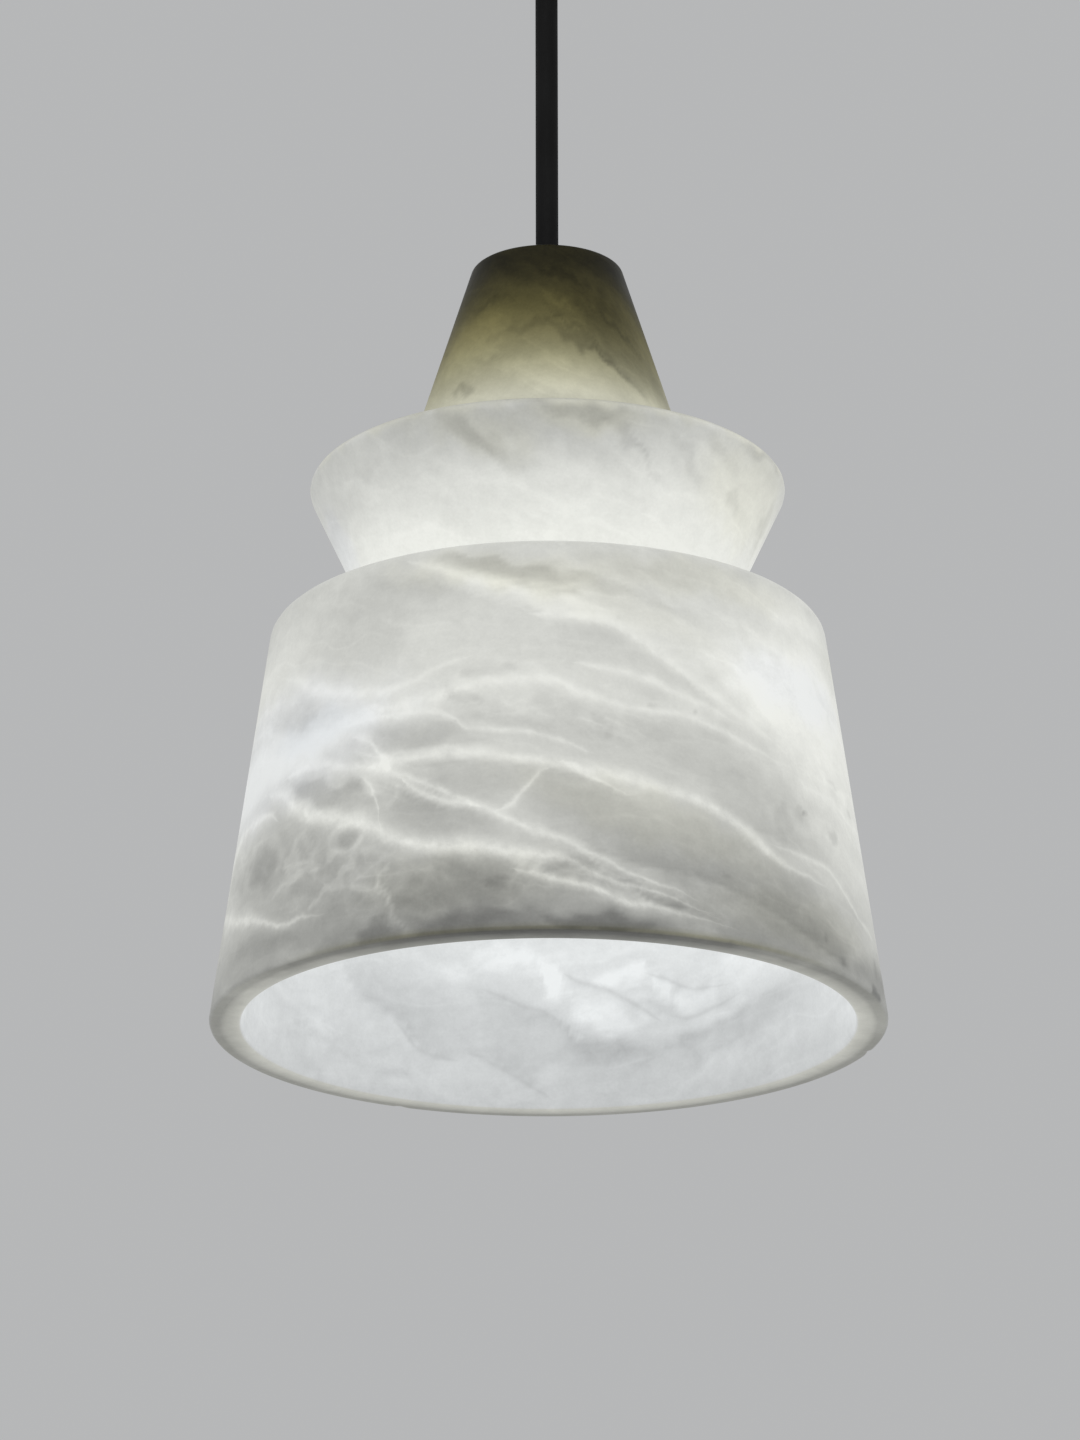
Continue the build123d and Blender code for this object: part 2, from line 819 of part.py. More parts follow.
with BuildPart() as hanger_nuts:
    # Cap nuts: a hexagon with a dome that closes the thread.
    with BuildSketch(Plane.XY.offset(rod_nut_top)):
        with Locations(*rod_places):
            RegularPolygon(rod_nut_af / 2, 6, major_radius=False)
    extrude(amount=-rod_nut_t)
    with BuildSketch(Plane.XY.offset(rod_nut_top - rod_nut_t)):
        with Locations(*rod_places):
            Circle(rod_nut_af / 2 - touch_gap)
    extrude(amount=-rod_dome_t)
    dome_edges = edges().filter_by(GeomType.CIRCLE).group_by(Axis.Z)[0]
    fillet(dome_edges, rod_nut_af / 2 - 3 * touch_gap)
    with BuildSketch(Plane.XY.offset(rod_nut_top)):
        with Locations(*rod_places):
            Circle(m5_r + thread_clear)
    extrude(amount=rod_base - touch_gap - rod_nut_top, mode=Mode.SUBTRACT)
save(hanger_nuts, "hanger_nuts")

# ---------------------------------------------------------------------------
# Lampholder
# ---------------------------------------------------------------------------

holder_bore_r = holder_r - holder_wall
insert_r = holder_bore_r - hole_clear
shell_r = bulb_cap_r + bulb_clear
shell_crest_r = shell_r + thread_depth
insert_bore_r = shell_crest_r + holder_shell_wall + hole_clear
holder_lip_top = holder_base + holder_lip_t
holder_boss = tube_thread + holder_boss_past
holder_neck_bore_r = holder_neck_r - holder_neck_wall
holder_shoulder = holder_top - holder_shoulder_drop

lampholder_cap = turned(
    [
        (tube_r + thread_clear, holder_top),
        (holder_neck_r, holder_top),
        (holder_neck_r, holder_top - holder_neck_length),
        (holder_r, holder_shoulder),
        (holder_r, holder_joint),
        (holder_bore_r, holder_joint),
        (holder_bore_r, holder_shoulder - holder_neck_wall),
        (holder_neck_bore_r, holder_top - holder_boss),
        (tube_r + thread_clear, holder_top - holder_boss),
    ],
    [((holder_neck_r, holder_top), holder_neck_edge_r), ((holder_r, holder_shoulder), holder_shoulder_r)],
)
save(lampholder_cap, "lampholder_cap")

lampholder_body = turned(
    [
        (holder_r, holder_joint),
        (holder_r, holder_base),
        (holder_lip_r, holder_base),
        (holder_lip_r, holder_lip_top),
        (holder_bore_r, holder_lip_top),
        (holder_bore_r, holder_joint),
    ],
    [((holder_r, holder_base), holder_rim_r)],
)
save(lampholder_body, "lampholder_body")

lampholder_insert = turned(
    [
        (0, insert_top),
        (insert_r, insert_top),
        (insert_r, holder_lip_top),
        (insert_bore_r, holder_lip_top),
        (insert_bore_r, insert_seat),
        (0, insert_seat),
    ]
)
save(lampholder_insert, "lampholder_insert")

shell_top = insert_seat
shell_base = holder_lip_top + holder_shell_lift
shell_inner = ridges(shell_r, shell_crest_r, shell_top)
shell_outer = [(r + holder_shell_wall, z) for r, z in shell_inner]
lampholder_shell = turned(
    [(shell_r, shell_top)]
    + shell_inner
    + [(shell_r, shell_base), (shell_r + holder_shell_wall, shell_base)]
    + shell_outer[::-1]
    + [(shell_r + holder_shell_wall, shell_top)]
)
save(lampholder_shell, "lampholder_shell")

lampholder_contact = discs(holder_contact_r, 0, insert_seat, holder_contact_t)
save(lampholder_contact, "lampholder_contact")

lampholder_terminals = discs(
    terminal_r, 0, insert_top + terminal_t, terminal_t, [(-terminal_x, 0), (terminal_x, 0)]
)
save(lampholder_terminals, "lampholder_terminals")

# Earth screw under the cap's inner boss.
holder_earth_top = holder_top - holder_boss
holder_earth_y = -(tube_r + holder_neck_bore_r) / 2
holder_earth_t = terminal_t
lampholder_earth_screw = discs(
    socket_r, 0, holder_earth_top, holder_earth_t, [(0, holder_earth_y)]
)
save(lampholder_earth_screw, "lampholder_earth_screw")

# Leads down the tube, from the end of the cord's jacket to the lampholder.
for name, side in (("lamp_live_lead", 1), ("lamp_neutral_lead", -1)):
    start_x = side * lead_offset_y
    lamp_lead = lead(
        (start_x, lead_offset_x, grip_ledge),
        (start_x, lead_offset_x, tube_base - tube_lead_drop),
        (side * terminal_x, 0, insert_top + terminal_t + terminal_lead_rise),
        (side * terminal_x, 0, insert_top + terminal_t),
    )
    save(lamp_lead, name)

earth_bend_z = holder_earth_top - holder_earth_t - lead_r - thread_clear
lamp_earth_lead = lead(
    (0, -lead_circle_r, grip_ledge),
    (0, -lead_circle_r, earth_bend_z),
    (0, holder_earth_y - lamp_earth_tail, earth_bend_z),
)
save(lamp_earth_lead, "lamp_earth_lead")

# ---------------------------------------------------------------------------
# Bulb
# ---------------------------------------------------------------------------

bulb_contact = discs(bulb_contact_r, 0, bulb_tip, bulb_contact_t)
save(bulb_contact, "bulb_contact")

bulb_insulator = turned(
    [
        (0, bulb_insulator_top),
        (bulb_contact_r, bulb_insulator_top),
        (bulb_cap_r - thread_depth - bulb_insulator_lip, bulb_cap_top),
        (0, bulb_cap_top),
    ]
)
save(bulb_insulator, "bulb_insulator")

cap_valley_r = bulb_cap_r - thread_depth
cap_outer = ridges(cap_valley_r, bulb_cap_r, bulb_cap_top)
bulb_screw_cap = turned(
    [(0, bulb_cap_top), (cap_valley_r, bulb_cap_top)]
    + cap_outer
    + [
        (cap_valley_r, bulb_cap_base),
        (cap_valley_r - bulb_cap_wall, bulb_cap_base),
        (cap_valley_r - bulb_cap_wall, bulb_cap_top - bulb_cap_wall),
        (0, bulb_cap_top - bulb_cap_wall),
    ]
)
save(bulb_screw_cap, "bulb_screw_cap")

housing_rim_r = bulb_globe_rim_r + bulb_housing_lip
bulb_housing = turned(
    [
        (0, bulb_cap_base),
        (bulb_neck_r, bulb_cap_base),
        (bulb_neck_r + bulb_neck_flare, bulb_cap_base - bulb_neck_length),
        (housing_rim_r, globe_rim),
        (0, globe_rim),
        (0, globe_rim + bulb_housing_wall),
        (housing_rim_r - 2 * bulb_housing_wall, globe_rim + bulb_housing_wall),
        (bulb_neck_r - bulb_housing_wall, bulb_cap_base - bulb_housing_wall),
        (0, bulb_cap_base - bulb_housing_wall),
    ]
)
save(bulb_housing, "bulb_housing")

globe_bore_r = bulb_globe_r - bulb_globe_wall
globe_rise = globe_rim - globe_z

with BuildPart() as bulb_globe:
    # Opal shell: most of a sphere, open where it sits on the housing.
    with BuildSketch(Plane.XZ):
        with BuildLine():
            outer = CenterArc(
                (0, globe_z), bulb_globe_r, -90, 90 + degrees(asin(globe_rise / bulb_globe_r))
            )
            inner = CenterArc(
                (0, globe_z), globe_bore_r, -90, 90 + degrees(asin(globe_rise / globe_bore_r))
            )
            Line(outer @ 0, inner @ 0)
            Line(outer @ 1, inner @ 1)
        make_face()
    revolve(axis=Axis.Z)
save(bulb_globe, "bulb_globe")

led_board = discs(led_board_r, 0, globe_rim, led_board_t)
save(led_board, "bulb_led_board")

with BuildPart() as driver_board:
    # Small upright board inside the housing, standing on its floor.
    with BuildSketch(Plane.XY.offset(globe_rim + bulb_housing_wall)):
        Rectangle(driver_width, driver_t)
    extrude(amount=driver_height)
    with BuildSketch(Plane.XZ.offset(-driver_t / 2)):
        with Locations((0, globe_rim + bulb_housing_wall + driver_height / 2)):
            Circle(driver_height / 4)
    extrude(amount=-driver_height / 2)
save(driver_board, "bulb_driver_board")

print("tilt at both swing limits, degrees:", round(degrees(tilt_max), 2))
print("gland mouth radius and outer radius:", round(gland_mouth_r, 2), round(gland_r, 2))
print("cap top, shade rim and bulb's lowest point:", cap_top, shade_rim, round(bulb_base, 2))
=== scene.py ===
# %% [markdown]
# # A pendant light of turned alabaster
# Three turned pieces of alabaster hang on a black cord: a cap, a collar with its wide end up, and
# an open bell shade. The bulb inside makes the stone glow, so its milky layers and veins show.
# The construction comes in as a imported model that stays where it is. This lesson adds the stone's
# fine shape, the threads, the cord and every finish.

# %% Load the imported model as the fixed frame
import json
from math import cos, pi, radians, sin

import bpy
import numpy as np
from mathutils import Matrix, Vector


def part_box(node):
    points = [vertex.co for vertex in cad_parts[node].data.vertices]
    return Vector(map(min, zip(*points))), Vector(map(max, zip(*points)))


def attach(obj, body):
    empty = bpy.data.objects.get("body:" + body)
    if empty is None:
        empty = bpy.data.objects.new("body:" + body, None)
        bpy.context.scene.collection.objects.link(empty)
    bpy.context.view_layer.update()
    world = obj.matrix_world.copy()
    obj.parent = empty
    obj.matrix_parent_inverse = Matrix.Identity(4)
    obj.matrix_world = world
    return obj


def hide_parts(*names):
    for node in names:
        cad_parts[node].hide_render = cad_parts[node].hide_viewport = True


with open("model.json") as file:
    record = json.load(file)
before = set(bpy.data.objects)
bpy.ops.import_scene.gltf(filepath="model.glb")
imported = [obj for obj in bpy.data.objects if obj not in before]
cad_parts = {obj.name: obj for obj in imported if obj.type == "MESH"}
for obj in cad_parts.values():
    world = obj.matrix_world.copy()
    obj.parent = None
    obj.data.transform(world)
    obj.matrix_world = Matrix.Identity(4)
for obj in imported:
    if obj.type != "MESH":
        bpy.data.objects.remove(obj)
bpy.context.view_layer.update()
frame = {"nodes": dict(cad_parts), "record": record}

MM = 0.001
nodes = frame["nodes"]
print("pieces in the frame:", len(nodes))

# %% [markdown]
# ## Camera
# The picture was taken from below and in front, with a long lens. A camera could be tried by hand,
# but here its place follows from the ellipses of the rim, the shoulder and the collar, which fix
# the distance, the height and the tilt.

# %% Camera
CAMERA_PLACE = (4.2 * MM, -1528.9 * MM, -852.9 * MM)
CAMERA_LENS = 134.88
CAMERA_TURNS = (109.286, 0.086, 0.278)

camera_data = bpy.data.cameras.new("camera")
camera_data.lens = CAMERA_LENS
camera_data.sensor_width = 36.0
camera_data.clip_end = 50.0
camera = bpy.data.objects.new("camera", camera_data)
camera.location = CAMERA_PLACE
camera.rotation_euler = [radians(turn) for turn in CAMERA_TURNS]
bpy.context.scene.collection.objects.link(camera)
bpy.context.scene.camera = camera
print("camera looks up by", round(CAMERA_TURNS[0] - 90, 1), "degrees")

# %% [markdown]
# ## Cord
# The cord is a round black flex, pulled straight by the weight of the stone. A cylinder would look
# the same, but a curve keeps its real length and thickness as numbers, so it is a smooth spline
# with a round bevel, from the canopy's gland down into the grip on the cap. The bevel is 1 m deep
# and each point's radius, which scales it, is the cord's own radius.

# %% Cord
CORD_R = 3.5 * MM
CORD_POINTS = 6
CORD_SINK = 0.5 * MM

cord_low, cord_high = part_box("cord")
cord_curve = bpy.data.curves.new("pendant_cord", "CURVE")
cord_curve.dimensions = "3D"
cord_curve.bevel_depth = 1.0
cord_curve.bevel_resolution = 8
cord_curve.resolution_u = 8
cord_curve.use_fill_caps = True
cord_spline = cord_curve.splines.new("NURBS")
cord_spline.points.add(CORD_POINTS - 1)
for point, z in zip(cord_spline.points, np.linspace(cord_high.z, cord_low.z - CORD_SINK, CORD_POINTS)):
    point.co = (0.0, 0.0, z, 1.0)
    point.radius = CORD_R
cord_spline.order_u = 3
cord_spline.use_endpoint_u = True
cord = bpy.data.objects.new("pendant_cord", cord_curve)
bpy.context.scene.collection.objects.link(cord)
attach(cord, "lamp")
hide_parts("cord")
print("free cord, mm:", round((cord_high.z - cord_low.z) / MM, 1))

# %% [markdown]
# ## Turned shapes
# A lathe gives each stone a straight taper and small rounded edges. Spinning a hand-drawn curve
# would do, but then no number says how round an edge is. Here an outline is a short list of
# corners, each with its radius and with the step at which the side after it is divided, and the
# piece is that outline carried once round the axis.

# %% Outline with rounded corners
ARC_STEPS = 5


def rounded_loop(corners):
    """Closed outline, as rows of (radius, height), from (radius, height, roundness, step) corners.

    A corner of roundness r is cut back on both sides by r * tan(half the turn). The gap is filled
    by an arc about the point that lies r from both sides. Sides are divided evenly by their step.
    """
    spots = np.array([c[:2] for c in corners], float)
    parts = []
    for i, (_, _, roundness, step) in enumerate(corners):
        here, before, after = spots[i], spots[i - 1], spots[(i + 1) % len(spots)]
        come = (here - before) / np.linalg.norm(here - before)
        go = (after - here) / np.linalg.norm(after - here)
        turn = np.arctan2(come[0] * go[1] - come[1] * go[0], come @ go)
        start = here - come * roundness * abs(np.tan(turn / 2))
        normal = np.sign(turn) * np.array([-come[1], come[0]])
        centre = start + normal * roundness
        bend = turn * np.linspace(0, 1, ARC_STEPS + 1)
        arm = start - centre
        arc = centre + np.stack([arm[0] * np.cos(bend) - arm[1] * np.sin(bend),
                                 arm[0] * np.sin(bend) + arm[1] * np.cos(bend)], 1)
        parts.append((arc, step))
    rows = []
    for (arc, step), (following, _) in zip(parts, parts[1:] + parts[:1]):
        gap = np.linalg.norm(following[0] - arc[-1])
        count = max(1, int(round(gap / step)))
        side = arc[-1] + (following[0] - arc[-1]) * np.linspace(0, 1, count + 1)[1:-1, None]
        rows += [arc, side]
    return np.concatenate(rows)


# %% [markdown]
# The outline's rows and the columns round the axis make one grid that closes on itself both ways,
# so a ring-shaped piece has no seam and no pole.

# %% Grid meshes
def grid_faces(rows, columns):
    """Corner numbers of every square of a grid that closes on itself both ways."""
    i, j = np.meshgrid(np.arange(rows), np.arange(columns), indexing="ij")
    down, right = (i + 1) % rows, (j + 1) % columns
    return np.stack([i * columns + j, i * columns + right, down * columns + right,
                     down * columns + j], -1).reshape(-1, 4)


def azimuths(columns):
    """Angles in degrees, 0 towards the camera and growing to its right, once round."""
    return np.arange(columns) * 360.0 / columns - 180.0


def turned_points(loop, columns):
    """x = radius * sin(azimuth), y = -radius * cos(azimuth), z = height, for each row and column."""
    angle = np.radians(azimuths(columns))[None, :]
    radius, height = loop[:, :1], loop[:, 1:]
    return np.stack([radius * np.sin(angle), -radius * np.cos(angle), height + 0 * angle], -1)


def turned_places(loop, columns, base=0.0):
    """Azimuth in degrees and height above base in mm, for each row and column."""
    shape = (len(loop), columns)
    return np.broadcast_to(azimuths(columns), shape), np.broadcast_to(loop[:, 1:] - base, shape)


def add_turned(name, points, body, replaced):
    """New smooth piece from a grid of points in mm. It rides on a body and replaces a CAD node."""
    faces = grid_faces(*points.shape[:2])
    mesh = bpy.data.meshes.new(name)
    mesh.from_pydata((points.reshape(-1, 3) * MM).tolist(), [], faces.tolist())
    mesh.polygons.foreach_set("use_smooth", np.ones(len(mesh.polygons), bool))
    mesh.update()
    piece = bpy.data.objects.new(name, mesh)
    bpy.context.scene.collection.objects.link(piece)
    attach(piece, body)
    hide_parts(replaced)
    return piece


# %% [markdown]
# ## What the stone looks like
# Alabaster is a block of cloudy layers. Turning cuts through them, so the surface shows grey lens
# shapes between milky bands and thin white veins. Noise alone would look like any marble. Three
# things describe this stone. Patches and layer edges, lighter and darker, are worked out with numpy
# and kept on the mesh. Veins are curves of height against the angle round the stone, and the shader
# draws them as sharp as the render asks. A web of fine cells and some grain come from noise in the
# block's own space.

# %% Patches of lighter and darker stone
def wrapped(difference):
    """Difference of two azimuths, brought to -180..180."""
    return (difference + 180.0) % 360.0 - 180.0


def ripple(azimuth, height, length, amount):
    """Irregular wave: three sines of different slant, so that a patch's edge isn't a clean oval."""
    s = azimuth * 1.6 / length
    h = height / length
    return amount * (np.sin(2.1 * s + 1.7 * h) + 0.7 * np.sin(4.3 * s - 3.9 * h + 1.3)
                     + 0.5 * np.sin(7.7 * s + 6.1 * h + 4.1))


def patches(azimuth, height, spots, sharpness=2):
    """Sum of flat-topped ovals. Each spot is (azimuth, height, half width in degrees, half height
    in mm, lean in mm per degree, change of lightness). q is the squared distance from the oval's
    middle in half widths, and the oval counts as exp(-(q to the power of sharpness)).
    """
    total = np.zeros_like(azimuth)
    across = azimuth + ripple(azimuth, height, 11.0, 1.4)
    up = height + ripple(azimuth, height, 13.0, 1.0)
    for middle, level, half_width, half_height, lean, change in spots:
        side = wrapped(across - middle)
        q = (side / half_width) ** 2 + ((up - level - lean * side) / half_height) ** 2
        total += change * np.exp(-np.minimum(q, 9.0) ** sharpness)
    return total


def ease(value, low, high):
    """0 below low, 1 above high, and a smooth S between: t * t * (3 - 2 * t)."""
    t = np.clip((value - low) / (high - low), 0, 1)
    return t * t * (3 - 2 * t)


def climb(height, foot, rises):
    """Lightness that is foot at the bottom. Each rise (low, high, change) adds its change, eased
    in between its two heights.
    """
    return foot + sum(change * ease(height, low, high) for low, high, change in rises)


def mix(first, second, share):
    """first where share is 0, second where it is 1, and in proportion between."""
    return first * (1 - share) + second * share


# Half the height, in mm, over which a layer's crisp edge goes from nothing to its full change.
EDGE_BLUR = 0.9


def layer_edges(azimuth, height, edges):
    """Sum of crisp edges between layers. Each edge is (reach, line), and the line's points are
    (azimuth, height, change of lightness). The change starts at the line and dies away over reach
    in mm, upwards, or downwards where reach is negative.
    """
    total = np.zeros_like(azimuth)
    across = azimuth + ripple(azimuth, height, 9.0, 0.6)
    for reach, line in edges:
        spots = np.array(line, float)
        away = (height - np.interp(across, spots[:, 0], spots[:, 1])) * np.sign(reach)
        change = np.interp(across, spots[:, 0], spots[:, 2])
        fading = np.exp(-np.maximum(away, 0) / abs(reach))
        total += change * ease(away, -EDGE_BLUR, EDGE_BLUR) * fading
    return total


def mark(piece, **fields):
    """Keep one number per mesh point under each name, for the shader to read."""
    for name, values in fields.items():
        layer = piece.data.attributes.new(name, "FLOAT", "POINT")
        layer.data.foreach_set("value", np.asarray(values, np.float32).ravel())


# %% [markdown]
# ## Bell shade
# The shade is a straight taper with a crisp rim, a softly rounded shoulder and a flat top with a
# hole for the lampholder. It glows most where the wall is far above the rim, and its rim is the
# darkest and greyest part.

# %% Bell shade: shape
RIM_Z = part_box("shade_stone")[0].z / MM
SHADE_TOP_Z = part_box("shade_stone")[1].z / MM
SHADE_HEIGHT = SHADE_TOP_Z - RIM_Z
SHADE_RIM_R = 100.0
SHADE_TOP_R = 83.3
SHADE_WALL = 9.5
SHADE_TOP_T = 12.0
SHADE_HOLE_R = 36.0
SHADE_COLUMNS = 480

shade_slope = (SHADE_RIM_R - SHADE_TOP_R) / SHADE_HEIGHT
shade_ceiling_r = SHADE_RIM_R - SHADE_WALL - shade_slope * (SHADE_HEIGHT - SHADE_TOP_T)
shade_loop = rounded_loop([
    (SHADE_RIM_R, RIM_Z, 1.2, 1.3),
    (SHADE_TOP_R, SHADE_TOP_Z, 4.0, 3.0),
    (SHADE_HOLE_R, SHADE_TOP_Z, 0.6, 3.0),
    (SHADE_HOLE_R, SHADE_TOP_Z - SHADE_TOP_T, 0.6, 4.0),
    (shade_ceiling_r, SHADE_TOP_Z - SHADE_TOP_T, 10.0, 2.4),
    (SHADE_RIM_R - SHADE_WALL, RIM_Z, 1.2, 1.6),
])
shade_points = turned_points(shade_loop, SHADE_COLUMNS)

# Small chips along the outer rim: azimuth, half width in mm, depth in mm. Each point near a chip
# moves inward and up alike, by this share of the depth.
RIM_CHIPS = [(106, 2.6, 0.6), (-64, 1.8, 0.3), (31, 1.6, 0.25), (-152, 2.4, 0.4)]
CHIP_SHARE = 0.7
for place, half_width, depth in RIM_CHIPS:
    centre = np.array([SHADE_RIM_R * sin(radians(place)), -SHADE_RIM_R * cos(radians(place)), RIM_Z])
    reach = np.linalg.norm(shade_points - centre, axis=-1) / half_width
    bite = CHIP_SHARE * depth * np.clip(1 - reach ** 2, 0, 1)
    inward = -shade_points[..., :2] / np.linalg.norm(shade_points[..., :2], axis=-1)[..., None]
    shade_points[..., :2] += inward * bite[..., None]
    shade_points[..., 2] += bite

shade = add_turned("bell_shade", shade_points, "lamp", "shade_stone")
print("bell shade squares:", len(shade.data.polygons))

# %% [markdown]
# The patches follow what can be seen on the real stone from the front. They could be painted on a
# texture, but numbers by angle and height stay sharp close by and can be moved one at a time. Wide
# soft ovals are the bright fields and clouds. Those at the back, which no one has seen, go on in the
# same manner.

# %% Bell shade: soft patches on the outside
OUTSIDE_PATCHES = [
    # bright fields; the tall ones at azimuth 72 and -76 are painted light along the sides seen edge-on
    (62, 82, 34, 26, -0.3, 0.045), (72, 48, 24, 18, -0.3, 0.03), (-70, 67, 34, 9, 0.05, 0.06),
    (72, 60, 30, 75, 0.0, 0.075), (-76, 80, 22, 30, 0.0, 0.055), (50, 113, 24, 6, 0.0, 0.05),
    (50, 84, 24, 16, -0.5, 0.025), (74, 12, 14, 12, 0.0, 0.05),
    (-50, 66, 14, 5, 0.2, 0.04), (20, 74, 14, 5, -0.3, 0.03), (40, 82, 10, 8, -0.6, 0.04),
    (6, 100, 14, 3, -0.4, 0.03), (150, 80, 40, 18, 0.2, 0.04), (-130, 60, 30, 10, 0.2, 0.06),
    (-74, 14, 12, 12, 0.0, 0.05), (10, 24, 20, 3, -0.7, 0.03),
    # olive and grey clouds under the shoulder
    (-6, 113, 15, 2.6, -0.20, -0.03), (-27, 111, 9, 4, -0.35, -0.03), (10, 108, 12, 2.4, -0.4, -0.05),
    (28, 113, 20, 3, -0.2, -0.04), (-42, 96, 16, 13, -0.1, -0.035), (33, 100, 16, 2.6, -0.35, -0.03),
    (110, 108, 26, 5, -0.2, -0.06), (-120, 110, 30, 4, 0.2, -0.06),
    # grey stone between the veins
    (-36, 97, 10, 10, 0.0, -0.02), (-34, 109, 13, 7, -0.2, -0.03), (18, 76, 8, 2, -0.3, -0.03),
    (-7, 65, 8, 2.2, -0.2, -0.03), (10, 62, 16, 6.5, -0.25, -0.035),
    (-56, 80, 10, 5, -0.25, -0.045), (12, 36, 18, 7, -0.5, -0.03), (-5, 70, 8, 2.0, -0.1, -0.02),
    (44, 46, 14, 9, -0.4, -0.02), (-24, 36, 8, 6, -0.6, -0.03),
    (118, 40, 22, 7, 0.1, -0.11), (160, 45, 18, 6, -0.3, -0.12), (-150, 35, 20, 6, 0.15, -0.11),
    (-110, 45, 14, 5, 0.1, -0.10), (135, 70, 14, 4, -0.4, -0.07), (-165, 72, 18, 6, 0.2, -0.08),
    # darker near the rim, partly the stone and partly painted shade, with brighter wedges in it
    (-46, 3, 9, 5, 0.3, 0.04), (24, 14, 16, 2.2, -0.45, 0.02), (-30, 26, 6, 4, 0, -0.03),
    (-61, 36, 13, 10, 0.0, -0.07), (-44, 31, 7, 9, -0.3, -0.05), (50, 11, 17, 9, -0.15, -0.03),
    (46, 22, 9, 7, 0.0, -0.02), (-2, 1.5, 28, 5, 0.0, -0.11), (-52, 8, 14, 4, -0.2, -0.03),
    (74, 8, 10, 6, 0.3, -0.08), (14, 8, 12, 5, -0.2, 0.03), (-60, 31, 14, 9, 0.0, -0.02),
    (-46, 21, 10, 6, 0.0, -0.02), (-58, 4, 16, 4.5, 0.0, 0.035), (22, 3.4, 9, 3.0, -0.15, 0.05),
    (100, 8, 30, 7, 0.1, -0.08), (160, 14, 30, 8, 0.0, -0.09), (-110, 10, 25, 7, 0.1, -0.08),
    # single dark spots
    (61.5, 45, 2.4, 2.4, 0, -0.08), (50, 49, 0.9, 1.0, 0, -0.12), (64, 62, 2.2, 1.0, 0, -0.06),
    (28, 70.7, 0.9, 0.8, 0, -0.09), (19, 71.2, 0.9, 0.8, 0, -0.06), (14, 97, 1.2, 1.0, 0, -0.07),
    (47, 43, 2, 5, 1.6, -0.05), (73, 58, 1.6, 2.2, 0, -0.06), (-9, 14, 1.3, 1.8, 0, -0.06),
    (72, 1.6, 1.5, 1.5, 0, -0.16), (52, 11, 1.6, 1.2, 0, -0.06), (57, 3.5, 1.2, 1.0, 0, -0.08),
    (32, 19, 1.4, 1.0, 0, -0.05), (73, 11, 1.8, 2.2, 0, -0.05),
]
print("soft patches on the outside:", len(OUTSIDE_PATCHES))

# %% [markdown]
# Dense layers that the lathe cut across show as grey lenses with a clear outline, so these ovals
# fall off fast. The same kind of oval, narrow and pale, makes the fine upright lines of the web low
# on the left, which are too steep for a curve of height against the angle. Where a dense layer ends
# at a vein, its edge is crisp on one side and fades out on the other.

# %% Bell shade: lenses and layer edges on the outside
OUTSIDE_LENSES = [
    # grey lenses, and the dark middles of the two round eyes on the left
    (-43.5, 51.2, 10.8, 4.6, -0.58, -0.08), (-25, 63.6, 7.5, 4.2, -0.2, -0.02),
    (-19.5, 44.6, 2.6, 1.3, -0.9, -0.05), (-14.5, 46.4, 9, 3.4, -0.42, -0.02),
    (-60, 35.5, 6.6, 7.2, -0.15, -0.04), (-36.6, 34.0, 2.9, 3.7, 0.0, -0.06),
    (-15, 10.8, 12.0, 10.2, 0.0, -0.055), (-29.5, 4, 3.6, 5.5, 0.0, -0.06),
    (4.5, 18.4, 4.6, 2.3, -0.75, -0.055), (17.5, 11.2, 7.5, 1.7, -0.42, -0.075),
    (8, 2.8, 9, 2.2, -0.1, -0.05), (-10, 113.6, 11.5, 3.2, -0.30, -0.055),
    (-2, 106.6, 7, 1.6, -0.1, -0.045), (-16, 73.4, 5, 2.4, -0.5, -0.045),
    (-11, 80.8, 4, 1.8, -0.1, -0.035), (-51, 77, 3, 2.4, 0.0, -0.03), (10, 62, 2.4, 3.4, 0.0, -0.03),
    # pale steep lines
    (-28.2, 16, 1.0, 4.4, 0.0, 0.05), (-26.8, 9.0, 1.6, 3.2, -2.8, 0.045),
    (-26.8, 21.4, 1.6, 2.0, 2.0, 0.05), (-48.6, 34, 0.9, 7, 0.0, 0.035),
    (-37.6, 22.4, 5.0, 2.3, 1.9, 0.045), (-28.9, 44, 0.9, 5, 0.0, 0.03),
    (-49, 25.8, 6.0, 1.2, 0.2, 0.04), (-41.4, 29, 1.7, 1.8, 1.5, 0.035),
    # the far side
    (120, 40, 18, 5, 0.1, -0.07), (160, 45, 14, 5, -0.3, -0.07), (-150, 35, 16, 5, 0.15, -0.07),
    (-112, 47, 9, 4, 0.2, -0.07), (140, 74, 12, 3, -0.4, -0.06), (-165, 76, 15, 5, 0.2, -0.06),
]
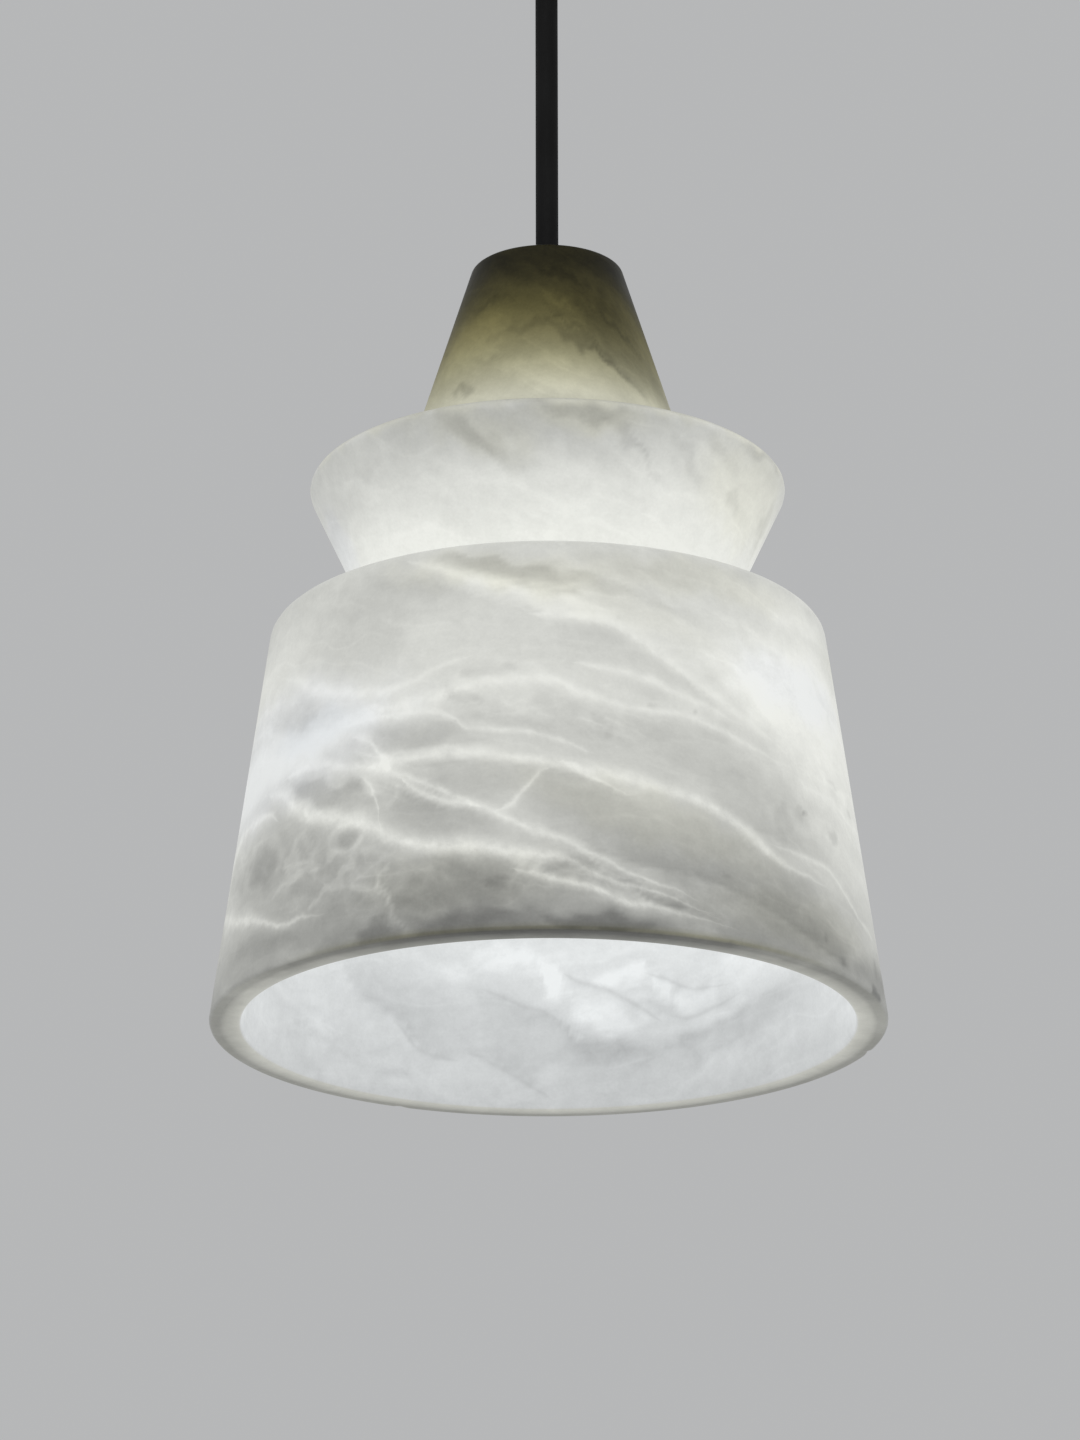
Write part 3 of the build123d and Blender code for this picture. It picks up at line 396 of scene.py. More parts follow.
OUTSIDE_EDGES = [
    (-13, [(-32, 117, 0), (-19, 109, -0.03), (-10, 103, -0.035), (3, 97.2, -0.045),
           (10, 96.3, -0.06), (14, 94.5, -0.065), (20, 89, -0.065), (26, 82, -0.06),
           (31, 76, -0.05), (37, 69, 0)]),
    (-9, [(-27, 53.6, 0), (-25, 54, -0.06), (-18, 53.6, -0.07), (-10, 52.3, -0.06), (-4, 50.6, -0.06),
          (2, 49, -0.055), (8, 46, -0.045), (12, 43.5, -0.03), (17, 39, 0)]),
    (-7, [(-30, 47.5, 0), (-26, 45.5, -0.07), (-22, 42.5, -0.085), (-18, 39.4, -0.08),
          (-12, 36.6, -0.06), (-7, 33, 0)]),
    (-12, [(-64, 53, 0), (-56, 50, -0.02), (-50, 45.5, -0.035), (-45, 42, -0.045), (-41, 40.4, -0.045),
           (-37, 38.6, -0.04), (-33, 35.5, -0.04), (-28, 30, -0.03), (-24, 26.5, 0)]),
    (-10, [(-27, 23.5, 0), (-20, 24.4, -0.05), (-12, 24, -0.05), (-8, 22.6, -0.05), (-4, 19.6, -0.04),
           (1, 15, 0)]),
    (10, [(-8, 36, 0), (-2, 32, -0.03), (4, 28.5, -0.04), (10, 23.5, -0.055), (16, 20, -0.06),
          (24, 19, -0.05), (30, 17.5, -0.05), (36, 14.5, -0.05), (42, 11, -0.05), (50, 7, -0.06),
          (56, 4, -0.05), (62, 1, 0)]),
    (-8, [(20, 43, 0), (26, 41, -0.03), (32, 38, -0.035), (38, 32, -0.03), (44, 28, -0.03), (52, 25, 0)]),
    (10, [(26, 43, 0), (34, 39.5, -0.02), (40, 36.5, -0.04), (46, 34.6, -0.045), (54, 34.2, -0.03),
          (62, 33, 0)]),
    (8, [(-36, 60, 0), (-31, 58.8, -0.05), (-22, 58.4, -0.06), (-14, 57.8, -0.05), (-6, 56, 0)]),
    (-10, [(95, 72, 0), (110, 64, -0.05), (130, 52, -0.06), (150, 52, -0.05), (172, 58, 0)]),
    (-9, [(-178, 30, 0), (-160, 21, -0.05), (-140, 24, -0.06), (-120, 18, -0.05), (-98, 16, 0)]),
]
# How strongly the crisp lenses and edges show.
OUTSIDE_DEPTH = 1.35
print("on the outside:", len(OUTSIDE_LENSES), "lenses and", len(OUTSIDE_EDGES), "edges")

# %% [markdown]
# The inside is seen on the far wall only, under the near rim. So azimuth 0 is in the middle of the
# far wall here, and it still grows to the right. Round white cells lie in it right of the middle,
# and a grey band runs past under them.

# %% Bell shade: patches on the inside
INSIDE_PATCHES = [
    (10.5, 16.4, 10, 3.4, 0.0, -0.03), (42, 18, 20, 5, 0.2, -0.02), (-58, 7, 12, 3, -0.9, -0.02),
    (-54, 26, 12, 10, -0.3, 0.03), (-34, 36, 8, 4, -0.3, -0.02), (46, 37, 11, 7, 0.0, 0.05),
    (60, 60, 40, 18, -0.3, -0.08), (-120, 50, 40, 16, 0.3, -0.08), (160, 70, 50, 14, -0.2, -0.07),
    (-170, 20, 30, 9, -0.2, -0.07), (110, 25, 20, 10, 0.2, -0.07), (-60, 85, 30, 12, 0, -0.07),
]
INSIDE_LENSES = [
    (11, 29.0, 7.0, 7.2, -0.35, 0.04), (1.0, 38.5, 3.4, 6.6, -0.3, 0.055),
    (14.6, 41, 7.0, 2.9, 0.0, 0.04), (24.4, 34.2, 2.7, 4.8, 0.0, 0.04),
    (32.5, 30.5, 4.4, 4.6, 0.2, 0.035), (36, 24.6, 7, 2.6, 0.35, 0.02),
    (-9, 46.5, 8, 4, 0.0, 0.03), (-20, 41, 5, 4, 0.0, 0.02),
    # grey lenses that the picture doesn't show
    (150, 30, 16, 6, 0.3, -0.04), (-150, 60, 20, 8, -0.2, -0.04), (100, 70, 14, 6, 0.2, -0.04),
    (-95, 30, 12, 7, 0.2, -0.04),
]
INSIDE_EDGES = [
    (16, [(-50, 40, 0), (-45, 34, -0.03), (-43, 30, -0.04), (-36.6, 26.5, -0.045), (-31, 22.5, -0.05),
          (-28, 17.5, -0.05), (-22, 14.8, -0.04), (-15, 14, 0)]),
    (9, [(-22, 18, 0), (-16, 17, -0.02), (-12, 15, -0.035), (-6.5, 10.2, -0.035), (-3, 6.5, -0.03),
         (0.5, 2, 0)]),
    (-12, [(-16, 38, 0), (-13.7, 36.3, -0.02), (-7.8, 33.3, -0.03), (-2.6, 30.8, -0.035),
           (2.6, 27, -0.05), (4.6, 23.3, -0.055), (8, 20.3, -0.06), (14, 20, -0.055),
           (22, 20, -0.045), (27, 20, -0.04), (33, 21.5, -0.04), (39, 23.5, -0.04),
           (47, 26.5, -0.04), (54, 28.8, -0.03), (64, 30, 0)]),
]
INSIDE_DEPTH = 1.7
print("on the inside:", len(INSIDE_LENSES), "lenses and", len(INSIDE_EDGES), "edges")

# %% [markdown]
# Two more things change from place to place: how olive the stone is, and how much of the web of
# fine cells shows. The web is dense left of the middle and near the rim, and faint elsewhere.

# %% Bell shade: olive tint and web
OLIVE_PATCHES = [
    (-8, 112, 22, 6, -0.2, 0.06), (8, 104, 22, 7, -0.4, 0.03), (30, 114, 26, 6, 0, 0.05),
    (-14, 16, 18, 10, 0, 0.04), (18, 36, 26, 9, -0.45, 0.05), (48, 12, 20, 9, 0, 0.05),
    (-64, 70, 34, 20, 0, -0.10), (56, 88, 18, 10, 0, -0.07), (-46, 72, 14, 6, 0, -0.08),
    (110, 108, 30, 8, 0, 0.10), (-120, 108, 30, 8, 0, 0.10), (150, 20, 40, 10, 0, 0.08),
]
OUTSIDE_WEB = [
    (-30, 54, 12, 12, -0.3, 0.35), (-38, 22, 16, 14, 0.0, 0.45), (-12, 14, 20, 10, 0.0, 0.35),
    (-68, 38, 14, 20, 0.0, 0.20), (10, 16, 20, 7, -0.4, 0.40), (-12, 68, 16, 5, 0.0, 0.25),
    (48, 18, 20, 10, -0.2, 0.20), (-58, 82, 20, 8, 0.0, 0.20), (10, 62, 12, 6, 0.0, 0.25),
    (62, 54, 20, 12, 0.0, 0.15), (110, 50, 24, 20, 0.2, 0.5), (150, 20, 30, 12, 0, 0.5),
    (-140, 40, 30, 16, 0.0, 0.5), (-105, 20, 20, 12, 0.0, 0.5), (170, 75, 20, 14, 0.0, 0.3),
]
INSIDE_WEB = [(18, 22, 22, 12, -0.2, 0.5), (50, 14, 16, 8, 0, 0.4), (-50, 14, 30, 10, -0.3, 0.35),
              (-160, 30, 60, 20, -0.2, 0.5), (120, 60, 60, 20, -0.2, 0.5), (-60, 70, 50, 20, 0, 0.5)]
print("olive patches:", len(OLIVE_PATCHES))

# %% [markdown]
# The wall is darkest at the rim and lightens upwards, where the bulb is nearer, and the inside,
# which the bulb lights, is lighter still: this is painted light. On that base, the patches, lenses
# and edges are added up for either side of the wall.

# %% Bell shade: lightness of the wall
# Painted light from the bulb: each side of the wall lightens upwards, and the inside is lighter.
OUTSIDE_FOOT_TONE = 0.61
OUTSIDE_LIGHT_RISES = ((2, 40, 0.175), (35, 90, 0.075), (98, 118, -0.04))
INSIDE_FOOT_TONE = 0.825
INSIDE_LIGHT_RISES = ((0, 12, 0.04), (22, 46, 0.06))
LENS_SHARPNESS = 4

shade_azimuth, shade_level = turned_places(shade_loop, SHADE_COLUMNS, RIM_Z)
inner_azimuth = wrapped(180.0 - shade_azimuth)
wall_middle_r = SHADE_RIM_R - SHADE_WALL / 2 - shade_slope * (shade_loop[:, 1] - RIM_Z)
inside_rows = ((shade_loop[:, 0] < wall_middle_r)
               & (shade_loop[:, 1] < SHADE_TOP_Z - SHADE_TOP_T / 2))
is_inside = np.broadcast_to(inside_rows[:, None], shade_level.shape)

outside_tone = (climb(shade_level, OUTSIDE_FOOT_TONE, OUTSIDE_LIGHT_RISES)
                + patches(shade_azimuth, shade_level, OUTSIDE_PATCHES)
                + OUTSIDE_DEPTH * patches(shade_azimuth, shade_level, OUTSIDE_LENSES, LENS_SHARPNESS)
                + OUTSIDE_DEPTH * layer_edges(shade_azimuth, shade_level, OUTSIDE_EDGES))
inside_tone = (climb(shade_level, INSIDE_FOOT_TONE, INSIDE_LIGHT_RISES)
               + patches(inner_azimuth, shade_level, INSIDE_PATCHES)
               + INSIDE_DEPTH * patches(inner_azimuth, shade_level, INSIDE_LENSES, LENS_SHARPNESS)
               + INSIDE_DEPTH * layer_edges(inner_azimuth, shade_level, INSIDE_EDGES))
wall_tone = np.where(is_inside, inside_tone, outside_tone)
print("wall tone from", round(float(wall_tone.min()), 2), "to", round(float(wall_tone.max()), 2))

# %% [markdown]
# The rim's lower face points away from the bulb. It is grey and lighter in a few stretches.
# Painted shade makes it darker on the near side and towards the outer edge, and along that edge
# on the near side also a little brown.

# %% Bell shade: the rim's lower face
RIM_TONE = 0.79
# Painted shade: the rim face is darker towards its outer edge and on the near side.
RIM_OUTWARD_SHADE = 0.27
RIM_OUTWARD_END = 0.68
RIM_NEAR_SHADE = 0.27
RIM_NEAR_SPREAD = 46.0
# Azimuth, distance outward from the inner edge, and the rest as for the other patches.
RIM_PATCHES = [(-61, 8, 12, 5, 0, 0.09), (41, 8, 9, 5, 0, 0.09), (84, 7, 12, 6, 0, 0.05),
               (-92, 2, 14, 4, 0, -0.03), (-38, 7, 10, 6, 0, 0.05)]
RIM_BLUR = 0.9
# Painted shade along the rim's outer edge on the near side: darker, and a little brown.
EDGE_SHADE_LOSS = 0.07
EDGE_SHADE_LEVEL = 0.6
EDGE_SHADE_BLUR = 0.8
EDGE_SHADE_AZIMUTH = 4.0

shade_reach = np.hypot(shade_points[..., 0], shade_points[..., 1])
from_inner_edge = shade_reach - SHADE_RIM_R + SHADE_WALL
from_outer_edge = SHADE_RIM_R - shade_reach
rim_outward = from_inner_edge / SHADE_WALL
rim_near_shade = np.exp(-((shade_azimuth / RIM_NEAR_SPREAD) ** 2))
rim_tone = (RIM_TONE - RIM_OUTWARD_SHADE * np.minimum(rim_outward, RIM_OUTWARD_END)
            - RIM_NEAR_SHADE * rim_near_shade + patches(shade_azimuth, from_inner_edge, RIM_PATCHES))
rim_face = (np.exp(-((shade_level / RIM_BLUR) ** 2)) * ease(from_outer_edge, 0.3, 1.2)
            * ease(from_inner_edge, -0.1, 0.6))
# Painted shade on the rim's outer edge, on the near side.
edge_shade = (np.exp(-(((shade_level - EDGE_SHADE_LEVEL) / EDGE_SHADE_BLUR) ** 2))
          * (1 - ease(from_outer_edge, 0.4, 1.2))
          * (1 - ease(np.abs(shade_azimuth - EDGE_SHADE_AZIMUTH), 26, 56)))
shade_tone = mix(wall_tone, rim_tone, rim_face) - EDGE_SHADE_LOSS * edge_shade
seen_rim = rim_tone[rim_face > 0.5]
print("rim tone from", round(float(seen_rim.min()), 2), "to", round(float(seen_rim.max()), 2))

# %% [markdown]
# The shader also reads the tint, from cool white at 0 to olive brown at 1, the share of the colour
# that glows, and how much of the veins and of the web shows. The inside has a material of its own,
# because its veins are grey and not white.

# %% Bell shade: tint, glow, veins and web
OUTSIDE_TINT = 0.31
INSIDE_TINT = 0.175
RIM_TINT = 0.36
# The painted shade on the rim's near outer edge is tinted a little brown.
EDGE_SHADE_TINT = 0.25
# Painted glow: the share of the colour given off as emission, for the bulb's light through the wall.
OUTSIDE_GLOW = 0.42
INSIDE_GLOW = 0.72
INSIDE_VEIN_SHARE = 0.7
LEAST_WEB_OUTSIDE = 0.04
LEAST_WEB_INSIDE = 0.12
RIM_WEB_LOSS = 0.6

outside_tint = OUTSIDE_TINT + patches(shade_azimuth, shade_level, OLIVE_PATCHES)
wall_tint = np.where(is_inside, INSIDE_TINT, outside_tint)
outside_web = LEAST_WEB_OUTSIDE + patches(shade_azimuth, shade_level, OUTSIDE_WEB)
inside_web = LEAST_WEB_INSIDE + patches(inner_azimuth, shade_level, INSIDE_WEB)
wall_web = np.where(is_inside, inside_web, outside_web)
mark(shade, tone=shade_tone, tint=mix(wall_tint, RIM_TINT, rim_face) + EDGE_SHADE_TINT * edge_shade,
     glow=np.where(is_inside, INSIDE_GLOW, OUTSIDE_GLOW),
     vein=np.where(is_inside, INSIDE_VEIN_SHARE, 1.0) * (1 - rim_face),
     web=wall_web * (1 - RIM_WEB_LOSS * rim_face))
inside_slots = np.repeat(inside_rows, SHADE_COLUMNS).astype(np.int32)
shade.data.polygons.foreach_set("material_index", inside_slots)
print("squares on the inside:", int(inside_slots.sum()))

# %% [markdown]
# ## Collar
# The collar is a ring with its wide end up. Light from the bulb fills its hollow, so the foot is
# almost white and the upper edge is cooler and greyer.

# %% Collar
COLLAR_TOP_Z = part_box("collar_stone")[1].z / MM
COLLAR_BASE_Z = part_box("collar_stone")[0].z / MM
COLLAR_HEIGHT = COLLAR_TOP_Z - COLLAR_BASE_Z
COLLAR_TOP_R = 73.65
COLLAR_BASE_R = 51.2
COLLAR_WALL = 9.9
COLLAR_TOP_T = 12.0
TUBE_WAY_R = 5.3
COLLAR_COLUMNS = 360

collar_slope = (COLLAR_TOP_R - COLLAR_BASE_R) / COLLAR_HEIGHT
collar_ceiling_r = COLLAR_BASE_R - COLLAR_WALL + collar_slope * (COLLAR_HEIGHT - COLLAR_TOP_T)
collar_loop = rounded_loop([
    (COLLAR_BASE_R, COLLAR_BASE_Z, 1.0, 1.3),
    (COLLAR_TOP_R, COLLAR_TOP_Z, 2.5, 2.5),
    (TUBE_WAY_R, COLLAR_TOP_Z, 0.4, 3.0),
    (TUBE_WAY_R, COLLAR_TOP_Z - COLLAR_TOP_T, 0.4, 3.0),
    (collar_ceiling_r, COLLAR_TOP_Z - COLLAR_TOP_T, 4.9, 2.0),
    (COLLAR_BASE_R - COLLAR_WALL, COLLAR_BASE_Z, 0.5, 2.0),
])
collar_points = turned_points(collar_loop, COLLAR_COLUMNS)
collar = add_turned("collar_ring", collar_points, "lamp", "collar_stone")
print("collar squares:", len(collar.data.polygons))

# %% Collar: patches
COLLAR_PATCHES = [
    (-20, 40, 10, 3.6, -0.55, -0.075), (-11, 33, 10, 2.6, -0.5, -0.045), (7, 44, 13, 2.4, -0.1, -0.08),
    (19, 38, 8, 1.8, -0.7, -0.05), (27, 32, 5, 1.6, -0.9, -0.04), (38, 35, 6, 2.4, -1.0, -0.04),
    # (-4, 43, 40, 13, ...) darkens the front of the upper edge: painted shade.
    (48, 40, 8, 1.8, -0.5, -0.03), (-2, 37, 18, 5, -0.3, -0.02), (-4, 43, 40, 13, 0.0, -0.075),
    (58, 30, 2.4, 3, -0.6, -0.05), (-5, 19, 40, 7, 0.0, -0.03),
    (82, 30, 4, 9, 0.0, -0.06), (64, 45, 12, 1.4, 0, -0.07), (-50, 36, 12, 2.4, 0.2, -0.02),
    (120, 36, 16, 6, 0.3, -0.08), (160, 30, 12, 8, -0.4, -0.07), (-140, 38, 18, 5, 0.2, -0.08),
    (-110, 28, 14, 7, -0.3, -0.05),
]
COLLAR_OLIVE = [(-18, 40, 14, 7, -0.4, 0.07), (10, 43, 16, 5, 0, 0.10), (66, 34, 24, 14, 0, 0.07),
                (0, 49, 180, 3.5, 0, 0.09), (-84, 26, 12, 10, 0, -0.08), (140, 36, 40, 10, 0, 0.08)]
COLLAR_WEB = [(64, 30, 24, 14, 0, 0.08), (-20, 38, 16, 8, 0, 0.15), (160, 30, 60, 16, 0, 0.25)]
print("patches on the collar:", len(COLLAR_PATCHES))

# %% Collar: lightness, tint and glow
COLLAR_FOOT_TONE = 0.975
# Painted shade: the collar darkens upwards, away from the light that fills its hollow.
COLLAR_SHADE_RISES = ((12, 34, -0.11), (34, 47, -0.05))
# Painted light: the collar's right side is a little lighter, as the light falls on it.
COLLAR_RIGHT_LIGHT = 0.025
COLLAR_TOP_TONE = 0.72
COLLAR_TINT = 0.30
COLLAR_GLOW = 0.50
COLLAR_GLOW_LOSS = 0.15
COLLAR_LEAST_WEB = 0.06

collar_azimuth, collar_level = turned_places(collar_loop, COLLAR_COLUMNS, COLLAR_BASE_Z)
# Painted light on the right side of the collar.
right_side_light = 1 + np.sin(np.radians(collar_azimuth))
collar_side_tone = (climb(collar_level, COLLAR_FOOT_TONE, COLLAR_SHADE_RISES)
                    + COLLAR_RIGHT_LIGHT * right_side_light * ease(collar_level, 12, 26)
                    + patches(collar_azimuth, collar_level, COLLAR_PATCHES))
collar_top_face = ease(collar_level, COLLAR_HEIGHT - 1.5, COLLAR_HEIGHT - 0.1)
collar_tone = mix(collar_side_tone, COLLAR_TOP_TONE, collar_top_face)
mark(collar, tone=collar_tone,
     tint=COLLAR_TINT + patches(collar_azimuth, collar_level, COLLAR_OLIVE),
     glow=COLLAR_GLOW - COLLAR_GLOW_LOSS * ease(collar_level, 20, 48),
     vein=np.zeros_like(collar_tone),
     web=COLLAR_LEAST_WEB + patches(collar_azimuth, collar_level, COLLAR_WEB))
print("collar tone from", round(float(collar_tone.min()), 2), "to", round(float(collar_tone.max()), 2))

# %% [markdown]
# ## Cap
# The cap is solid but for the tube's way, so little light gets in. Painted shade turns it from
# cream at the foot to a dark olive at the top, with slanting bands across it.

# %% Cap
CAP_TOP_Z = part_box("cap_stone")[1].z / MM
CAP_BASE_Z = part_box("cap_stone")[0].z / MM
CAP_TOP_R = 23.2
CAP_BASE_R = 44.85
CAP_RECESS_R = 15.0
CAP_RECESS_DEPTH = 13.0
CAP_COLUMNS = 300

cap_loop = rounded_loop([
    (CAP_BASE_R, CAP_BASE_Z, 1.5, 1.2),
    (CAP_TOP_R, CAP_TOP_Z, 1.5, 1.5),
    (CAP_RECESS_R, CAP_TOP_Z, 0.75, 1.5),
    (CAP_RECESS_R, CAP_TOP_Z - CAP_RECESS_DEPTH, 0.5, 1.5),
    (TUBE_WAY_R, CAP_TOP_Z - CAP_RECESS_DEPTH, 0.4, 4.0),
    (TUBE_WAY_R, CAP_BASE_Z, 0.4, 3.0),
])
cap_points = turned_points(cap_loop, CAP_COLUMNS)
cap = add_turned("cap_cone", cap_points, "lamp", "cap_stone")
print("cap squares:", len(cap.data.polygons))

# %% Cap: patches
CAP_PATCHES = [
    (45, 34, 32, 11, -0.35, -0.10), (24, 30.5, 22, 3.0, -0.40, -0.08), (35, 50, 26, 5, -0.25, -0.04),
    (-42, 36, 22, 11, 0.1, 0.05), (-40, 18, 6, 2.2, -0.3, -0.10), (5, 20, 24, 7, -0.1, 0.05),
    (34, 25, 16, 1.3, -0.45, -0.07), (16, 38, 16, 1.4, -0.5, -0.05), (42, 40, 14, 1.4, -0.5, -0.05),
    (-14, 38, 18, 2.0, 0.15, -0.04), (-34, 50, 18, 1.6, 0.1, -0.03), (8, 58, 20, 1.8, -0.2, -0.03),
    (-30, 28, 14, 1.4, -0.15, -0.03), (10, 47, 14, 1.5, -0.4, 0.03),
    (150, 30, 40, 9, 0.3, -0.08), (-120, 45, 30, 5, -0.3, -0.06), (110, 22, 14, 4, -0.4, -0.06),
]
print("patches on the cap:", len(CAP_PATCHES))

# %% Cap: lightness, tint and glow
# Painted shade: lightness is lost evenly with each mm between these heights.
CAP_FOOT_TONE = 0.77
CAP_SHADE_LOSSES = ((14, 48, 0.013), (48, 64, 0.011))
CAP_FOOT_TINT = 0.46
CAP_GLOW = 0.38
CAP_WEB = 0.08

cap_azimuth, cap_level = turned_places(cap_loop, CAP_COLUMNS, CAP_BASE_Z)
cap_shade = sum(loss * np.clip(cap_level - low, 0, high - low) for low, high, loss in CAP_SHADE_LOSSES)
cap_tone = CAP_FOOT_TONE - cap_shade + patches(cap_azimuth, cap_level, CAP_PATCHES)
# The tint turns olive towards the top along with the painted shade.
mark(cap, tone=cap_tone, tint=mix(CAP_FOOT_TINT, 1.0, ease(cap_level, 4, 52)),
     glow=CAP_GLOW * (1 - ease(cap_level, 5, 60)), vein=np.zeros_like(cap_tone),
     web=np.full_like(cap_tone, CAP_WEB))
print("cap tone from", round(float(cap_tone.min()), 2), "to", round(float(cap_tone.max()), 2))

# %% [markdown]
# ## Veins as curves
# A vein runs round the stone at a height that changes with the angle. It is a chain of (azimuth,
# height, half width) points. A painted texture would need an image; a curve in the shader stays
# sharp at any distance. Three veins share one pair of curve nodes, because such a node carries
# three channels. A curve node has 256 steps, one for each 1.4 degrees, so it can't follow a line
# that is nearly upright: those few are ovals in the patches above.

# %% Vein chains
SHADE_VEINS = [
    # the broad milky band, which goes right round
    [(-180, 63, 5), (-150, 60, 4), (-125, 55, 3.5), (-100, 58, 5), (-80, 62, 6), (-62, 65, 5.5),
     (-46, 69, 4), (-36, 73, 3), (-24, 74, 2.4), (-12, 77, 2.0), (-2, 77, 2.0), (6, 73.5, 1.8),
     (14, 70, 1.2), (24, 69.5, 1.0), (34, 66, 1.2), (46, 61, 0)],
    [(-64, 96, 0), (-54, 90, 1.6), (-46, 84.5, 2.2), (-38, 80.5, 2.0), (-30, 79.5, 1.5),
     (-22, 82.5, 1.0), (-12, 86, 0)],
    [(-40, 70, 0), (-34, 70.8, 1.2), (-26, 70.3, 1.2), (-20, 69.3, 1.0), (-17, 67.5, 0.9),
     (-15, 64, 0.9), (-12, 62.6, 0.9), (-7, 61.4, 0.9), (-2, 60, 0.8), (2, 57.6, 0.8), (8, 54, 0)],
    [(2, 51.5, 0), (6, 49.4, 1.2), (10, 48.4, 1.8), (15, 46.6, 2.0), (20, 44.8, 2.0), (27, 42.6, 2.0),
     (34, 37.8, 1.8), (40, 32.2, 1.6), (45, 28.8, 1.0), (51, 27.2, 0.6), (57, 26, 0)],
    [(-56, 59, 0), (-50, 60.5, 1.4), (-42, 58.6, 1.8), (-35, 55.4, 1.7), (-30, 53.6, 1.7),
     (-26.5, 51.5, 1.4), (-23, 48.4, 1.0), (-16, 42.6, 1.0), (-10, 37.2, 1.1), (-4, 32.4, 1.4),
     (2, 28.2, 1.2), (8, 22.8, 0.9), (14, 17.6, 0.7), (20, 14, 0.4), (27, 10.2, 0)],
    [(-27, 51, 0), (-24, 46.4, 0.9), (-20, 42.4, 1.0), (-16, 40.4, 0.9), (-11, 38, 0)],
    [(-34, 55, 0), (-28, 56.4, 1.5), (-20, 56.4, 1.7), (-12, 54.8, 1.7), (-4, 52.2, 1.5),
     (2, 50.9, 1.3), (6, 48, 0.9), (10, 45, 0.6), (15, 41.5, 0)],
    [(-62, 58, 0), (-56, 54.5, 1.8), (-50, 48.5, 2.2), (-44, 43.5, 2.3), (-38, 40.5, 2.2),
     (-33, 37.5, 2.0), (-28, 32.5, 1.8), (-23, 28.4, 2.0), (-16, 26.8, 2.2), (-8, 25.4, 1.9),
     (-2, 23.6, 1.5), (3, 21.2, 1.1), (8, 16.8, 1.0), (12, 14.2, 0.9), (17, 12.4, 0.6),
     (22, 10, 0.4), (30, 7, 0)],
    [(-84, 29, 0), (-76, 26, 2.0), (-68, 22.4, 1.9), (-60, 18.8, 1.5), (-54, 15.6, 1.1),
     (-49, 13, 0.9), (-45, 13.4, 0.6), (-39, 13, 0)],
    [(-9, 36.5, 0), (-6.5, 38.5, 0.9), (-5, 41, 1.1), (-3, 45, 1.0), (-1.5, 48, 0.7), (1, 50, 0)],
    [(4, 82.5, 0), (10, 81.5, 1.2), (17, 80, 1.5), (23, 76.5, 1.6), (29, 73.5, 1.5), (36, 70, 0)],
    [(-4, 98, 0), (3, 97.8, 1.6), (9, 97, 2.0), (14, 94.5, 2.2), (20, 89, 2.4), (26, 83, 2.4),
     (33, 76.5, 2.0), (40, 71, 1.4), (46, 67, 0)],
    [(-30, 119, 0), (-22, 115, 1.6), (-13, 109, 2.0), (-5, 105.5, 2.0), (4, 103, 1.6), (13, 99, 0)],
    [(40, 34.4, 0), (48, 33.6, 0.6), (56, 33.0, 0.8), (62, 28, 0.8), (68, 23, 0.8), (78, 19, 0)],
    [(-6, 19, 0), (-1, 17, 1.0), (4, 14.4, 1.1), (9, 11, 1.2), (13, 8.6, 1.2), (19, 7.4, 0.8),
     (26, 5.4, 0.4), (34, 4, 0)],
    [(-92, 42, 0), (-80, 47, 1.8), (-70, 51, 1.8), (-62, 51, 1.2), (-55, 46, 0)],
    [(-38, 66, 0), (-35, 64.5, 1.2), (-32.5, 61, 1.4), (-30.5, 57, 1.4), (-28.5, 53, 0)],
    [(-34.5, 53, 0), (-32.8, 49, 0.9), (-31.4, 45, 0.9), (-30.6, 41, 0.7), (-30.2, 37.5, 0.5),
     (-30, 32, 0)],
    # the far side
    [(62, 80, 0), (80, 77, 2.0), (100, 70, 3), (120, 60, 4), (140, 56, 3), (165, 60, 4.5),
     (180, 63, 5)],
    [(70, 42, 0), (95, 44, 1.2), (110, 50, 1.5), (130, 44, 1.5), (150, 35, 1.2), (168, 30, 1.4),
     (180, 28, 1.2)],
    [(-180, 28, 1.2), (-160, 24, 1.3), (-140, 28, 1.2), (-120, 22, 1.0), (-100, 20, 1.2), (-85, 16, 0)],
    [(95, 100, 0), (115, 95, 1.5), (135, 88, 1.2), (155, 92, 1.5), (175, 84, 0)],
    [(-165, 96, 0), (-150, 102, 1.5), (-130, 98, 1.5), (-112, 90, 1.4), (-98, 88, 1.0), (-85, 82, 0)],
    [(100, 22, 0), (118, 16, 1.2), (135, 20, 1.1), (150, 12, 0)],
    [(-150, 46, 0), (-135, 42, 1.0), (-120, 38, 1.2), (-105, 40, 1.0), (-92, 36, 0)],
]
# Round eyes in the stone: azimuth, height, radius and half width of the line in mm, and strength.
SHADE_EYES = [(-36.8, 34.6, 4.6, 1.3, 0.28), (-60, 36, 9.0, 1.6, 0.14), (-60, 36, 14.5, 2.0, 0.08)]
